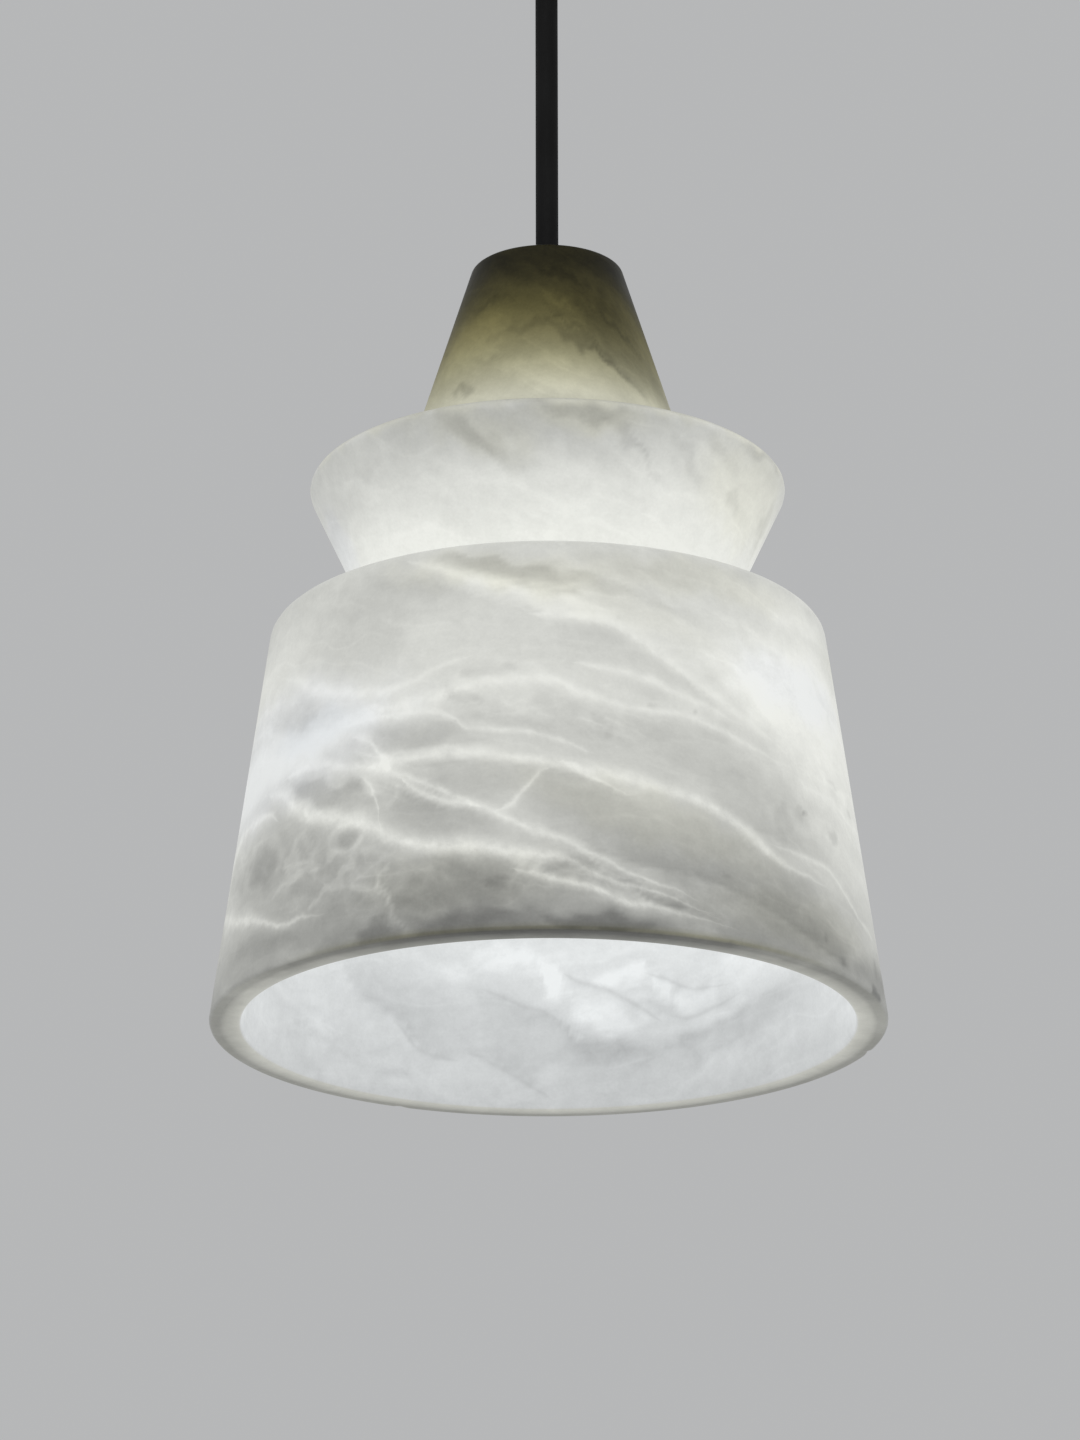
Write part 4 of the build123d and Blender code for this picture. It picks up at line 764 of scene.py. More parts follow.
# Grey lines on the inside, round the white cells, with azimuths as for the inside's patches.
INSIDE_VEINS = [
    [(3, 42, 0), (5.5, 39.6, 0.8), (11.8, 36.3, 0.9), (17, 32, 0.9), (21, 28.2, 0.7), (24, 25, 0)],
    [(-33, 24, 0), (-30.5, 21.5, 0.7), (-28, 17.5, 0.9), (-24, 15.3, 0.8), (-18, 14, 0)],
    [(-17, 17, 0), (-13.7, 16, 0.7), (-11, 14, 0.8), (-6.5, 10.2, 0.8), (-2.6, 6.4, 0.7), (1, 2, 0)],
    [(-15, 37, 0), (-10, 34.5, 0.7), (-5, 32, 0.7), (0, 29.2, 0.7), (3, 26.5, 0)],
    [(20, 41, 0), (25, 38.5, 0.7), (29, 35.5, 0.8), (34, 34, 0.6), (42, 33.5, 0)],
    [(26, 27, 0), (30, 25.5, 0.7), (36, 27, 0.7), (43, 30, 0)],
    [(-150, 30, 0), (-130, 38, 0.9), (-110, 34, 0.9), (-90, 40, 0)],
    [(90, 50, 0), (120, 40, 0.9), (150, 48, 0.9), (175, 42, 0)],
    [(-60, 64, 0), (-30, 72, 0.9), (10, 66, 0.9), (50, 74, 0)],
]
print("veins on the shade:", len(SHADE_VEINS), "outside and", len(INSIDE_VEINS), "inside")

# %% [markdown]
# ## Shader helpers
# Materials are built from nodes in code. One helper makes a node, sets its options, and fills its
# inputs with numbers or with other nodes' outputs, so that a material reads like a recipe.

# %% Shader helpers
def new_material(name):
    """Empty material with its Principled shader: (material, tree, shader)."""
    material = bpy.data.materials.new(name)
    material.use_nodes = True
    tree = material.node_tree
    return material, tree, tree.nodes["Principled BSDF"]


def put(tree, kind, inputs=(), out=0, **options):
    """Add a node. inputs maps socket names or numbers to a number, a tuple or another output."""
    node = tree.nodes.new("ShaderNode" + kind)
    for key, value in options.items():
        setattr(node, key, value)
    for key, value in dict(inputs).items():
        if isinstance(value, bpy.types.NodeSocket):
            tree.links.new(value, node.inputs[key])
        else:
            node.inputs[key].default_value = value
    return node.outputs[out]


def maths(tree, operation, *values, clamp=False):
    """One arithmetic step."""
    return put(tree, "Math", dict(enumerate(values)), operation=operation, use_clamp=clamp)


def vectors(tree, operation, *values, out=0):
    """One arithmetic step on three numbers at once."""
    return put(tree, "VectorMath", dict(enumerate(values)), out=out, operation=operation)


def span(tree, value, low, high, to_low=0.0, to_high=1.0):
    """Bring a value from low..high to to_low..to_high, held at the ends."""
    return put(tree, "MapRange", {0: value, 1: low, 2: high, 3: to_low, 4: to_high})


def noise(tree, where, scale, detail=4.0, roughness=0.55, out=0, **options):
    """Cloud noise; scale is in waves per metre."""
    return put(tree, "TexNoise", {"Vector": where, "Scale": scale, "Detail": detail,
                                  "Roughness": roughness}, out=out, **options)


def blend(tree, share, first, second):
    """Mix two colours."""
    node = tree.nodes.new("ShaderNodeMix")
    node.data_type = "RGBA"
    for socket, value in ((node.inputs[0], share), (node.inputs[6], first), (node.inputs[7], second)):
        if isinstance(value, bpy.types.NodeSocket):
            tree.links.new(value, socket)
        else:
            socket.default_value = value
    return node.outputs[2]


def scaled(tree, vector, factor):
    """Three numbers times one."""
    return put(tree, "VectorMath", {0: vector, 3: factor}, operation="SCALE")


def here(tree):
    """Place on the piece, in metres, in the frame's own axes."""
    return put(tree, "TexCoord", out=3)


def field(tree, name):
    """The number that the mesh keeps under this name."""
    return put(tree, "Attribute", out=2, attribute_name=name)


def stretched(tree, where, x, y, z):
    """Place with each axis scaled, which draws a pattern out or squeezes it."""
    return vectors(tree, "MULTIPLY", where, (x, y, z))


# %% [markdown]
# A vein is drawn by its distance above or below the curve, measured in its own half widths, so a
# broad band and a hairline share one formula. A hard edge would look inked on, so each has a bright
# core in a wider, fainter veil.

# %% Curves that draw the veins
VEIN_TOP = 130.0
VEIN_WIDEST = 10.0
VEIN_SPREAD = 1.55
VEIN_FADE = 1.6
VEIL_SHARE = 0.42
NO_VEIN = [(-180, 0, 0), (180, 0, 0)]


def curve_triple(tree, share, chains, column, scale):
    """Three curves over the same input: chain point column against azimuth, both as 0 to 1."""
    node = tree.nodes.new("ShaderNodeRGBCurve")
    tree.links.new(share, node.inputs["Color"])
    for curve, chain in zip(node.mapping.curves, chains):
        spots = [((p[0] + 180.0) / 360.0, p[column] / scale) for p in chain]
        curve.points[0].location = spots[0]
        curve.points[1].location = spots[-1]
        for spot in spots[1:-1]:
            curve.points.new(*spot)
        for point in curve.points:
            point.handle_type = "AUTO_CLAMPED"
    node.mapping.extend = "HORIZONTAL"
    node.mapping.update()
    return node.outputs["Color"]


def draw_veins(tree, azimuth, level, chains):
    """Sum of veins, three at a time. n is the height above the vein's middle in half widths. Each
    vein is a core of 1 / (1 + n * n) squared in a wider veil of 1 / (1 + n * n), and both count
    width / (width + 1.6 mm), so that they fade towards the vein's ends.
    """
    azimuth_share = maths(tree, "ADD", maths(tree, "DIVIDE", azimuth, 360.0), 0.5)
    shares = put(tree, "CombineXYZ", {i: azimuth_share for i in range(3)})
    levels = put(tree, "CombineXYZ", {i: level for i in range(3)})
    total = 0.0
    for first in range(0, len(chains), 3):
        trio = (chains[first:first + 3] + [NO_VEIN, NO_VEIN])[:3]
        middle = vectors(tree, "MULTIPLY", curve_triple(tree, shares, trio, 1, VEIN_TOP),
                         (VEIN_TOP,) * 3)
        width = vectors(tree, "MULTIPLY_ADD", curve_triple(tree, shares, trio, 2, VEIN_WIDEST),
                        (VEIN_WIDEST * VEIN_SPREAD,) * 3, (0.001,) * 3)
        n = vectors(tree, "DIVIDE", vectors(tree, "SUBTRACT", levels, middle), width)
        bell = vectors(tree, "DIVIDE", (1, 1, 1), vectors(tree, "MULTIPLY_ADD", n, n, (1, 1, 1)))
        fade = vectors(tree, "DIVIDE", width, vectors(tree, "ADD", width, (VEIN_FADE,) * 3))
        core = vectors(tree, "DOT_PRODUCT", vectors(tree, "MULTIPLY", bell, bell), fade, out=1)
        veil = vectors(tree, "DOT_PRODUCT", bell, fade, out=1)
        total = maths(tree, "ADD", total, maths(tree, "MULTIPLY_ADD", veil, VEIL_SHARE, core))
    return total


EYE_SIDE_SCALE = 1.3
EYE_UP_SCALE = 1.15


def draw_eyes(tree, azimuth, level, eyes):
    """Sum of rings: 1 / (1 + k * k) squared, k being the distance from the line in half widths.
    Distances count 1.3 mm for a degree sideways and 1.15 mm for a mm upwards.
    """
    total = 0.0
    for middle, height, radius, half_width, strength in eyes:
        side = maths(tree, "MULTIPLY", maths(tree, "SUBTRACT", azimuth, middle), EYE_SIDE_SCALE)
        up = maths(tree, "MULTIPLY", maths(tree, "SUBTRACT", level, height), EYE_UP_SCALE)
        reach = vectors(tree, "LENGTH", put(tree, "CombineXYZ", {0: side, 1: up}), out=1)
        k = maths(tree, "DIVIDE", maths(tree, "SUBTRACT", reach, radius), half_width)
        ring = maths(tree, "DIVIDE", 1.0, maths(tree, "MULTIPLY_ADD", k, k, 1.0))
        total = maths(tree, "MULTIPLY_ADD", maths(tree, "MULTIPLY", ring, ring), strength, total)
    return total


# %% [markdown]
# ## Alabaster
# A plain white with some noise looks like plaster. Real alabaster is read from its layers: the
# light inside turns each thin spot bright and each dense one grey. The finish here first settles a
# lightness for each spot and turns it into colour last. Part of that colour is the stone's own and
# part is painted glow, an emission that stands in for the bulb's light coming through the stone.
# In the block the layers are tipped and bent, so the places at which patterns are read are tipped
# too, and pushed about by three sizes of noise.

# %% Alabaster: places for the patterns
# Noise sizes are in waves per metre, and pushes in metres.
SWAY_WAVES = 26.0
FINE_WAVES = 140.0
FIBRE_WAVES = 520.0
LAYER_SWAY = 0.014
VEIN_SWAY = 0.004
FINE_PUSH = 0.0024
FIBRE_PUSH = 0.0010


def centred_noise(tree, place, waves, detail):
    """Three numbers of noise, each from -0.5 to 0.5."""
    return vectors(tree, "SUBTRACT", noise(tree, place, waves, detail, out=1), (0.5,) * 3)


def stone_places(tree, slant, rough):
    """The place on the piece, that place in tipped layers (bed), a slow sway and a small ragged
    jitter that push it about, and the bed with both pushes (bent).
    """
    place = here(tree)
    axes = put(tree, "SeparateXYZ", {0: place}).node.outputs
    tipped = vectors(tree, "DOT_PRODUCT", place, (slant, 0, 1), out=1)
    bed = put(tree, "CombineXYZ", {0: axes[0], 1: axes[1], 2: tipped})
    sway = centred_noise(tree, place, SWAY_WAVES, 2.0)
    fine = centred_noise(tree, place, FINE_WAVES, 3.0)
    fibre = centred_noise(tree, place, FIBRE_WAVES, 2.0)
    jitter = vectors(tree, "MULTIPLY_ADD", fine, (FINE_PUSH * rough,) * 3,
                     vectors(tree, "MULTIPLY", fibre, (FIBRE_PUSH * rough,) * 3))
    swayed = vectors(tree, "MULTIPLY_ADD", sway, (LAYER_SWAY,) * 3, bed)
    return place, bed, sway, jitter, vectors(tree, "ADD", swayed, jitter)


# %% Alabaster: veins and web
RAGGED_WAVES = 210.0
RAGGED_RANGE = (0.55, 1.15)
WEB_STRETCH = (0.62, 0.62, 1.2)
SMALL_CELLS = 2.3
BROKEN_WAVES = 75.0


def vein_strength(tree, places, foot, chains, eyes, front):
    """All veins and eyes at the pushed place, times a ragged noise and the mesh's vein field."""
    place, bed, sway, jitter, _ = places
    swayed = vectors(tree, "MULTIPLY_ADD", sway, (VEIN_SWAY,) * 3, place)
    x, y, z = put(tree, "SeparateXYZ", {0: vectors(tree, "ADD", swayed, jitter)}).node.outputs
    turn = maths(tree, "ARCTAN2", x, maths(tree, "MULTIPLY", y, front))
    azimuth = maths(tree, "MULTIPLY", turn, 180.0 / pi)
    level = maths(tree, "MULTIPLY_ADD", z, 1 / MM, -foot)
    drawn = maths(tree, "ADD", draw_veins(tree, azimuth, level, chains),
                  draw_eyes(tree, azimuth, level, eyes))
    ragged = span(tree, noise(tree, bed, RAGGED_WAVES, 4.0, 0.7), 0.3, 0.7, *RAGGED_RANGE)
    return maths(tree, "MULTIPLY", maths(tree, "MULTIPLY", drawn, ragged), field(tree, "vein"))


def web_line(tree, edge, reach, peak):
    """Fuzzy line along a cell's edge: a fade from peak at the edge to 0 at reach, squared."""
    line = span(tree, edge, 0.0, reach, peak, 0.0)
    return maths(tree, "MULTIPLY", line, line)


def web_of_cells(tree, places, cell, line, inner):
    """Lines round flattened cells of two sizes, broken up by noise (net), and the lightness that
    they and the insides of the cells add, times the mesh's web field. cell is in mm.
    """
    _, bed, _, _, bent = places
    flat = stretched(tree, bent, *WEB_STRETCH)
    edge = put(tree, "TexVoronoi", {"Vector": flat, "Scale": 1.0 / (cell * MM)},
               feature="DISTANCE_TO_EDGE")
    small_edge = put(tree, "TexVoronoi", {"Vector": flat, "Scale": SMALL_CELLS / (cell * MM)},
                     feature="DISTANCE_TO_EDGE")
    lines = maths(tree, "ADD", web_line(tree, edge, reach=0.30, peak=1.0),
                  web_line(tree, small_edge, reach=0.26, peak=0.70))
    broken = span(tree, noise(tree, bed, BROKEN_WAVES, 3.0), 0.36, 0.60)
    net = maths(tree, "MULTIPLY", lines, broken)
    insides = span(tree, edge, 0.02, 0.30, 0.0, 1.0)
    change = maths(tree, "MULTIPLY_ADD", net, line, maths(tree, "MULTIPLY", insides, inner))
    return net, maths(tree, "MULTIPLY", change, field(tree, "web"))


# %% [markdown]
# Between the veins the stone is never plain. Long thin wisps, wider layers, clouds, mottling and a
# fine grain are each too weak to be seen alone. A few small brown specks are scattered in it.

# %% Alabaster: quiet patterns and specks
WISP_WIDTH = 0.045
SPECK_CELLS = 60.0


def quiet_patterns(tree, places, change):
    """Add wisps, layers, clouds, mottling and grain, each as (noise - its middle) * amount."""
    place, _, _, _, bent = places
    ridge = noise(tree, stretched(tree, bent, 0.45, 0.45, 1.5), 48.0, 2.0, 0.5)
    off_ridge = maths(tree, "ABSOLUTE", maths(tree, "SUBTRACT", ridge, 0.5))
    wisp = span(tree, off_ridge, 0.0, WISP_WIDTH, 1.0, 0.0)
    layer = noise(tree, stretched(tree, bent, 0.35, 0.35, 1.6), 62.0, 5.0, 0.6)
    cloud = noise(tree, bent, 34.0, 4.0, 0.6)
    mottle = noise(tree, place, 260.0, 4.0, 0.65)
    grain = noise(tree, place, 1100.0, 3.0, 0.6)
    for pattern, middle, amount in ((wisp, 0.25, 0.016), (layer, 0.5, 0.09), (cloud, 0.5, 0.06),
                                    (mottle, 0.5, 0.07), (grain, 0.5, 0.05)):
        change = maths(tree, "MULTIPLY_ADD", maths(tree, "SUBTRACT", pattern, middle), amount, change)
    return change


def specks(tree, bent):
    """1 inside a speck and 0 outside: a small spot in the middle of a few cells only."""
    distance, kind = put(tree, "TexVoronoi", {"Vector": bent, "Scale": SPECK_CELLS},
                         feature="F1").node.outputs[:2]
    return maths(tree, "MULTIPLY", span(tree, distance, 0.02, 0.05, 1.0, 0.0),
                 span(tree, kind, 0.84, 0.86))


# %% Alabaster: colour
# Colour at full light, by tint: cool white, warm white, cream, straw and olive brown.
HUES = ((0.0, (0.90, 0.95, 1.0, 1)), (0.25, (0.985, 1.0, 0.985, 1)), (0.5, (1.0, 0.99, 0.80, 1)),
        (0.75, (1.0, 0.95, 0.56, 1)), (1.0, (1.0, 0.88, 0.30, 1)))
DARKEST_TONE = 0.05
LIGHTEST_TONE = 0.985
TONE_POWER = 2.2


def stone_colour(tree, lightness, tint):
    """The tint's hue times lightness to the power of 2.2, with lightness held within limits."""
    hue = put(tree, "ValToRGB", {0: tint})
    ramp = hue.node.color_ramp
    for end, (position, colour) in zip(ramp.elements, (HUES[0], HUES[-1])):
        end.position = position
        end.color = colour
    for position, colour in HUES[1:-1]:
        ramp.elements.new(position).color = colour
    held = maths(tree, "MINIMUM", maths(tree, "MAXIMUM", lightness, DARKEST_TONE), LIGHTEST_TONE)
    return scaled(tree, hue, maths(tree, "POWER", held, TONE_POWER))


# %% Alabaster: the whole finish
WHITE_TONE = 0.955
GREY_TONE = 0.70
VEIN_MIX = 0.80
SPECK_LOSS = 0.16
SPECK_TINT = 0.3


def alabaster(name, foot=0.0, chains=(), eyes=(), vein_tone=WHITE_TONE, front=-1.0, slant=0.22,
              cell=12.0, line=0.13, inner=-0.04, shine=0.4, rough=1.0):
    """Alabaster finish. foot is the piece's lowest height in mm, from which veins are measured.
    vein_tone is the lightness at a vein's middle. Azimuth 0 is on the near side where front is -1
    and on the far side where it is 1. slant tips the layers down towards the right. line and inner
    are how much the web's lines and the insides of its cells change the lightness. shine is the
    strength of the gloss, and rough is how ragged all lines are.
    """
    material, tree, shader = new_material(name)
    places = stone_places(tree, slant, rough)
    place, bent = places[0], places[-1]
    net, change = web_of_cells(tree, places, cell, line, inner)
    change = quiet_patterns(tree, places, change)
    lightness = maths(tree, "ADD", field(tree, "tone"), change)
    if chains:
        strength = vein_strength(tree, places, foot, chains, eyes, front)
        share = maths(tree, "MULTIPLY", strength, VEIN_MIX, clamp=True)
        missing = maths(tree, "SUBTRACT", vein_tone, lightness)
        lightness = maths(tree, "MULTIPLY_ADD", share, missing, lightness)
    speck = specks(tree, bent)
    lightness = maths(tree, "MULTIPLY_ADD", speck, -SPECK_LOSS, lightness)
    tint = maths(tree, "MULTIPLY_ADD", speck, SPECK_TINT, field(tree, "tint"))
    colour = stone_colour(tree, lightness, tint)

    # Painted glow: emission that stands in for the bulb's light through the stone.
    glow = field(tree, "glow")
    own = scaled(tree, colour, maths(tree, "SUBTRACT", 1.0, glow))
    tree.links.new(own, shader.inputs["Base Color"])
    tree.links.new(scaled(tree, colour, glow), shader.inputs["Emission Color"])
    shader.inputs["Emission Strength"].default_value = 1.0

    # Honed, not mirror bright: the gloss changes a little, and polishing leaves a faint wave.
    gloss = span(tree, noise(tree, place, 45.0, 4.0), 0.3, 0.7, 0.36, 0.52)
    tree.links.new(gloss, shader.inputs["Roughness"])
    shader.inputs["Specular IOR Level"].default_value = shine
    wave = put(tree, "Bump", {"Strength": 0.10, "Distance": 0.0005,
                              "Height": maths(tree, "ADD", noise(tree, place, 120.0, 3.0), net)})
    tree.links.new(wave, shader.inputs["Normal"])
    return material


shade.data.materials.append(alabaster("alabaster_shade", RIM_Z, SHADE_VEINS, SHADE_EYES))
shade.data.materials.append(alabaster("alabaster_inside", RIM_Z, INSIDE_VEINS, vein_tone=GREY_TONE,
                                      front=1.0, slant=-0.15, line=-0.05, inner=0.03, rough=0.4))
collar.data.materials.append(alabaster("alabaster_collar", slant=0.35, cell=15.0))
cap.data.materials.append(alabaster("alabaster_cap", slant=0.60, cell=18.0, shine=0.12))
print("alabaster nodes:", len(shade.data.materials[0].node_tree.nodes))

# %% [markdown]
# ## Screw threads
# The bulb's cap and the brass shell that takes it are pressed with the same round thread. Rings
# would look right from afar, but only a helix meshes when the bulb is turned out. The wall's
# radius follows a wave that moves on by one pitch for each turn, on both pieces alike.

# %% Screw threads
THREAD_PITCH = 3.629
THREAD_DEPTH = 0.9
THREAD_COLUMNS = 96


def thread_wave(azimuth, height, top, bottom, runout):
    """0 in the valley and 1 on the crest: 0.5 - 0.5 * cos(2 * pi * (height / pitch - turns)),
    which fades out over runout at the top and at the bottom. The crest climbs as the azimuth
    grows, as on any right-hand thread.
    """
    turns = (azimuth + 90.0) / 360.0
    wave = 0.5 - 0.5 * np.cos(2 * pi * (height / THREAD_PITCH - turns))
    fade = ease(height, bottom, bottom + runout) * (1 - ease(height, top - runout, top))
    return wave * fade


def threaded_sleeve(name, loop, threaded, top, bottom, body, replaced):
    """A turned sleeve whose chosen rows swell along the helix."""
    points = turned_points(loop, THREAD_COLUMNS)
    azimuth, level = turned_places(loop, THREAD_COLUMNS)
    swell = THREAD_DEPTH * thread_wave(azimuth, level, top, bottom, 0.5 * THREAD_PITCH)
    swell = swell * threaded[:, None]
    radius = loop[:, :1]
    points[..., :2] *= ((radius + swell) / radius)[..., None]
    return add_turned(name, points, body, replaced)


cap_low, cap_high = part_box("bulb_screw_cap")
BULB_CAP_R = 13.1
BULB_CAP_WALL = 0.6
BULB_CAP_HOLE_R = 4.6
ROUNDING = 0.05
bulb_valley_r = BULB_CAP_R - THREAD_DEPTH
screw_top, screw_base = cap_high.z / MM, cap_low.z / MM
screw_loop = rounded_loop([
    (bulb_valley_r, screw_base, 0.1, 0.3),
    (bulb_valley_r, screw_top, 0.4, 1.0),
    (BULB_CAP_HOLE_R, screw_top, 0.2, 0.6),
    (BULB_CAP_HOLE_R, screw_top - BULB_CAP_WALL, 0.2, 1.0),
    (bulb_valley_r - BULB_CAP_WALL, screw_top - BULB_CAP_WALL, 0.3, 0.3),
    (bulb_valley_r - BULB_CAP_WALL, screw_base, 0.1, 0.3),
])
screw_rows = screw_loop[:, 0] > bulb_valley_r - BULB_CAP_WALL - ROUNDING
bulb_screw = threaded_sleeve("bulb_screw_thread", screw_loop, screw_rows, screw_top, screw_base,
                             "bulb", "bulb_screw_cap")

shell_low, shell_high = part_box("lampholder_shell")
SHELL_R = 13.5
SHELL_WALL = 0.6
shell_top, shell_base = shell_high.z / MM, shell_low.z / MM
shell_loop = rounded_loop([
    (SHELL_R + SHELL_WALL, shell_base, 0.2, 0.3),
    (SHELL_R + SHELL_WALL, shell_top, 0.2, 0.3),
    (SHELL_R, shell_top, 0.2, 0.3),
    (SHELL_R, shell_base, 0.2, 0.3),
])
holder_shell = threaded_sleeve("lampholder_thread", shell_loop, np.ones(len(shell_loop)), shell_top,
                               shell_base, "lamp", "lampholder_shell")
print("turns on the bulb's cap:", round((screw_top - screw_base) / THREAD_PITCH, 1))

# %% [markdown]
# ## Finishes of the small parts
# Every small part has a finish that can be named: powder coat, zinc plate, pressed brass, moulded
# nylon, glazed porcelain. Most share one recipe with other numbers. Two tones are mixed by noise,
# the gloss changes with a second noise, and a fine bump gives the texture. Stretching the noise
# turns it into brushing or drawing marks.

# %% One recipe for plain finishes
def finish(name, tones, gloss, metallic=0.0, scale=200.0, bump=0.1, depth=0.0002, stretch=(1, 1, 1),
           **sockets):
    """Finish from two tones, a pair of gloss values and noise; sockets are set as they are."""
    material, tree, shader = new_material(name)
    place = stretched(tree, here(tree), *stretch)
    broad = noise(tree, place, scale * 0.12, 3.0)
    close = noise(tree, place, scale, 5.0, 0.6)
    share = maths(tree, "ADD", span(tree, broad, 0.35, 0.65, 0.0, 0.6),
                  span(tree, close, 0.3, 0.7, 0.0, 0.4))
    tree.links.new(blend(tree, share, (*tones[0], 1), (*tones[1], 1)), shader.inputs["Base Color"])
    tree.links.new(span(tree, close, 0.3, 0.7, *gloss), shader.inputs["Roughness"])
    shader.inputs["Metallic"].default_value = metallic
    for key, value in sockets.items():
        shader.inputs[key.replace("_", " ")].default_value = value
    relief = put(tree, "Bump", {"Strength": bump, "Distance": depth, "Height": close})
    tree.links.new(relief, shader.inputs["Normal"])
    return material


FINISHES = {
    "black_metal": finish("black_powder_coat", ((0.016, 0.016, 0.018), (0.028, 0.028, 0.030)),
                          (0.40, 0.55), scale=1400.0, bump=0.35, depth=0.00015),
    "zinc_steel": finish("zinc_plate", ((0.52, 0.53, 0.55), (0.68, 0.69, 0.70)), (0.22, 0.42),
                         metallic=1.0, scale=500.0, bump=0.12),
    "white_steel": finish("white_powder_coat", ((0.80, 0.80, 0.78), (0.86, 0.86, 0.84)),
                          (0.38, 0.50), scale=1200.0, bump=0.30, depth=0.00015),
    "brass": finish("pressed_brass", ((0.66, 0.47, 0.19), (0.80, 0.62, 0.30)), (0.20, 0.40),
                    metallic=1.0, scale=350.0, stretch=(1, 1, 6)),
    "bulb_cap_metal": finish("nickel_plate", ((0.62, 0.61, 0.60), (0.76, 0.75, 0.74)), (0.16, 0.34),
                             metallic=1.0, scale=350.0, stretch=(1, 1, 6)),
    "block_plastic": finish("natural_nylon", ((0.78, 0.77, 0.70), (0.86, 0.85, 0.79)), (0.42, 0.58),
                            scale=600.0, bump=0.15, Subsurface_Weight=0.1, Subsurface_Scale=0.002),
    "porcelain": finish("glazed_porcelain", ((0.80, 0.79, 0.75), (0.87, 0.86, 0.83)), (0.08, 0.20),
                        scale=160.0, bump=0.05, Coat_Weight=0.6, Coat_Roughness=0.05),
    "silicone": finish("clear_silicone", ((0.70, 0.71, 0.69), (0.80, 0.80, 0.78)), (0.34, 0.46),
                       scale=500.0, Subsurface_Weight=0.2, Subsurface_Scale=0.002),
    "cord_black": finish("black_flex", ((0.003, 0.003, 0.003), (0.007, 0.007, 0.007)), (0.62, 0.78),
                         scale=900.0, bump=0.25, depth=0.0002, stretch=(1, 1, 0.35),
                         Specular_IOR_Level=0.18),
    "lead_brown": finish("brown_insulation", ((0.13, 0.055, 0.025), (0.19, 0.085, 0.04)),
                         (0.25, 0.38), scale=700.0),
    "lead_blue": finish("blue_insulation", ((0.035, 0.12, 0.36), (0.06, 0.17, 0.45)), (0.25, 0.38),
                        scale=700.0),
    "opal_globe": finish("opal_diffuser", ((0.86, 0.86, 0.83), (0.92, 0.92, 0.90)), (0.30, 0.42),
                         scale=300.0, bump=0.05, Emission_Color=(1.0, 0.97, 0.92, 1),
                         Emission_Strength=1.1),
    "bulb_white": finish("moulded_housing", ((0.80, 0.80, 0.78), (0.87, 0.87, 0.85)), (0.36, 0.48),
                         scale=700.0, bump=0.12),
    "bulb_black": finish("black_glass", ((0.012, 0.012, 0.014), (0.03, 0.03, 0.034)), (0.05, 0.12),
                         scale=200.0, bump=0.03, Coat_Weight=0.5),
    "board_metal": finish("aluminium_board", ((0.72, 0.73, 0.74), (0.84, 0.85, 0.86)), (0.25, 0.40),
                          metallic=0.8, scale=500.0, stretch=(4, 1, 1)),
}
print("plain finishes:", len(FINISHES))

# %% [markdown]
# Two finishes need a pattern. The earth lead is green with a yellow stripe along it, which here is
# a stripe by direction round the lead. The driver board is green lacquer with paler copper tracks,
# drawn as the edges of small square cells.

# %% Striped lead and circuit board
def striped_insulation():
    """Green and yellow: a slow wave across x and y picks one of the two."""
    material, tree, shader = new_material("green_yellow_insulation")
    place = here(tree)
    stripe = put(tree, "TexWave", {"Vector": stretched(tree, place, 1, 1, 0.25), "Scale": 160.0,
                                   "Distortion": 0.4, "Detail": 1.0}, out=1, bands_direction="DIAGONAL")
    share = span(tree, stripe, 0.45, 0.55)
    tree.links.new(blend(tree, share, (0.05, 0.24, 0.06, 1), (0.72, 0.62, 0.05, 1)),
                   shader.inputs["Base Color"])
    tree.links.new(span(tree, noise(tree, place, 700.0), 0.3, 0.7, 0.25, 0.38),
                   shader.inputs["Roughness"])
    return material


def circuit_board():
    """Green lacquer with paler tracks where straight-sided cells meet, and bright pads."""
    material, tree, shader = new_material("circuit_board")
    place = here(tree)
    edge = put(tree, "TexVoronoi", {"Vector": place, "Scale": 420.0, "Randomness": 0.7},
               feature="F2", distance="CHEBYCHEV")
    near = put(tree, "TexVoronoi", {"Vector": place, "Scale": 420.0, "Randomness": 0.7},
               feature="F1", distance="CHEBYCHEV")
    track = span(tree, maths(tree, "SUBTRACT", edge, near), 0.0, 0.12, 1.0, 0.0)
    pad = span(tree, near, 0.10, 0.14, 1.0, 0.0)
    green = blend(tree, track, (0.012, 0.10, 0.045, 1), (0.05, 0.22, 0.10, 1))
    tree.links.new(blend(tree, pad, green, (0.62, 0.60, 0.56, 1)), shader.inputs["Base Color"])
    tree.links.new(span(tree, pad, 0.0, 1.0, 0.35, 0.22), shader.inputs["Roughness"])
    relief = put(tree, "Bump", {"Strength": 0.4, "Distance": 0.0001, "Height": track})
    tree.links.new(relief, shader.inputs["Normal"])
    return material


FINISHES["lead_green"] = striped_insulation()
FINISHES["board_green"] = circuit_board()
print("finishes:", len(FINISHES))

# %% [markdown]
# The record says which finish each carried-over part has, so they are all dressed in one loop.

# %% Dress every part that still shows
slot_of = {part["node"]: part["material_slot"] for part in frame["record"]["subparts"]}
for name, part in nodes.items():
    slot = slot_of[name]
    part.data.materials.clear()
    part.data.materials.append(FINISHES.get(slot, shade.data.materials[0]))
cord.data.materials.append(FINISHES["cord_black"])
bulb_screw.data.materials.append(FINISHES["bulb_cap_metal"])
holder_shell.data.materials.append(FINISHES["brass"])
print("dressed:", len(nodes))

# %% [markdown]
# ## Room
# A plain pale floor lies as far down as in a room, and the world behind is pale too. Soft light
# comes from all sides and from one wide lamp up to the left, at a level at which a colour renders
# about as it is written. What the camera and reflections see behind the light is a calm grey.

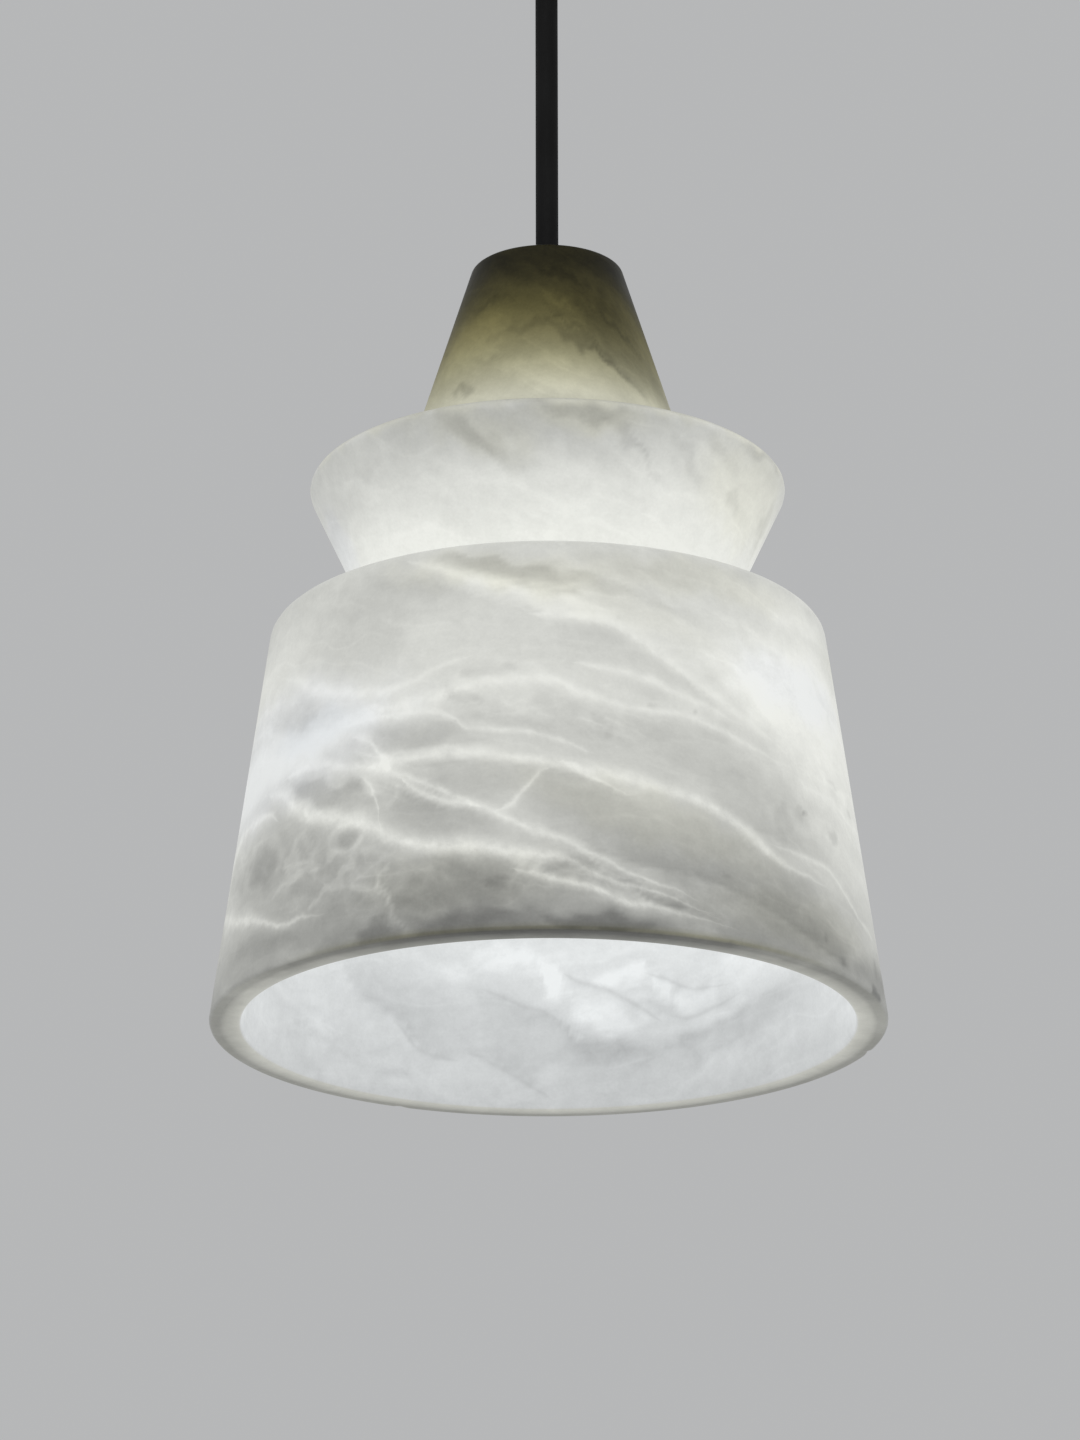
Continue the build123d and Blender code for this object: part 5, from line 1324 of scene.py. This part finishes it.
# %% Floor
FLOOR_Z = -3.6
FLOOR_HALF = 12.0
FLOOR_GREY = (0.59, 0.595, 0.60, 1)
floor_corners = [(x * FLOOR_HALF, y * FLOOR_HALF, FLOOR_Z)
                 for x, y in ((-1, -1), (1, -1), (1, 1), (-1, 1))]
floor_mesh = bpy.data.meshes.new("floor")
floor_mesh.from_pydata(floor_corners, [], [(0, 1, 2, 3)])
floor = bpy.data.objects.new("floor", floor_mesh)
bpy.context.scene.collection.objects.link(floor)
floor_paint, _, floor_shader = new_material("floor_paint")
floor_shader.inputs["Base Color"].default_value = FLOOR_GREY
floor_shader.inputs["Roughness"].default_value = 0.8
floor_mesh.materials.append(floor_paint)
print("floor lies", -FLOOR_Z, "m under the ceiling")

# %% World and lamp
WORLD_LIGHT = (0.80, 0.80, 0.80, 1)
SHOWN_GREY = (0.47, 0.475, 0.48, 1)
LAMP_WIDTH = 2.0
LAMP_POWER = 14.0
LAMP_PLACE = (-0.3, -2.4, 0.6)
LAMP_TURNS = (70.0, 0.0, -7.0)

world = bpy.data.worlds.new("studio")
bpy.context.scene.world = world
world.use_nodes = True
world_tree = world.node_tree
background = world_tree.nodes["Background"]
path = put(world_tree, "LightPath").node.outputs
mirrored = maths(world_tree, "MAXIMUM", path["Is Glossy Ray"], path["Is Transmission Ray"])
seen = maths(world_tree, "MAXIMUM", path["Is Camera Ray"], mirrored)
world_tree.links.new(blend(world_tree, seen, WORLD_LIGHT, SHOWN_GREY), background.inputs["Color"])
background.inputs["Strength"].default_value = 1.0

lamp_data = bpy.data.lights.new("soft_lamp", "AREA")
lamp_data.shape = "SQUARE"
lamp_data.size = LAMP_WIDTH
lamp_data.energy = LAMP_POWER
soft_lamp = bpy.data.objects.new("soft_lamp", lamp_data)
soft_lamp.location = LAMP_PLACE
soft_lamp.rotation_euler = [radians(turn) for turn in LAMP_TURNS]
bpy.context.scene.collection.objects.link(soft_lamp)
bpy.context.scene.view_settings.view_transform = "Standard"
print("lamps:", len(bpy.data.lights))
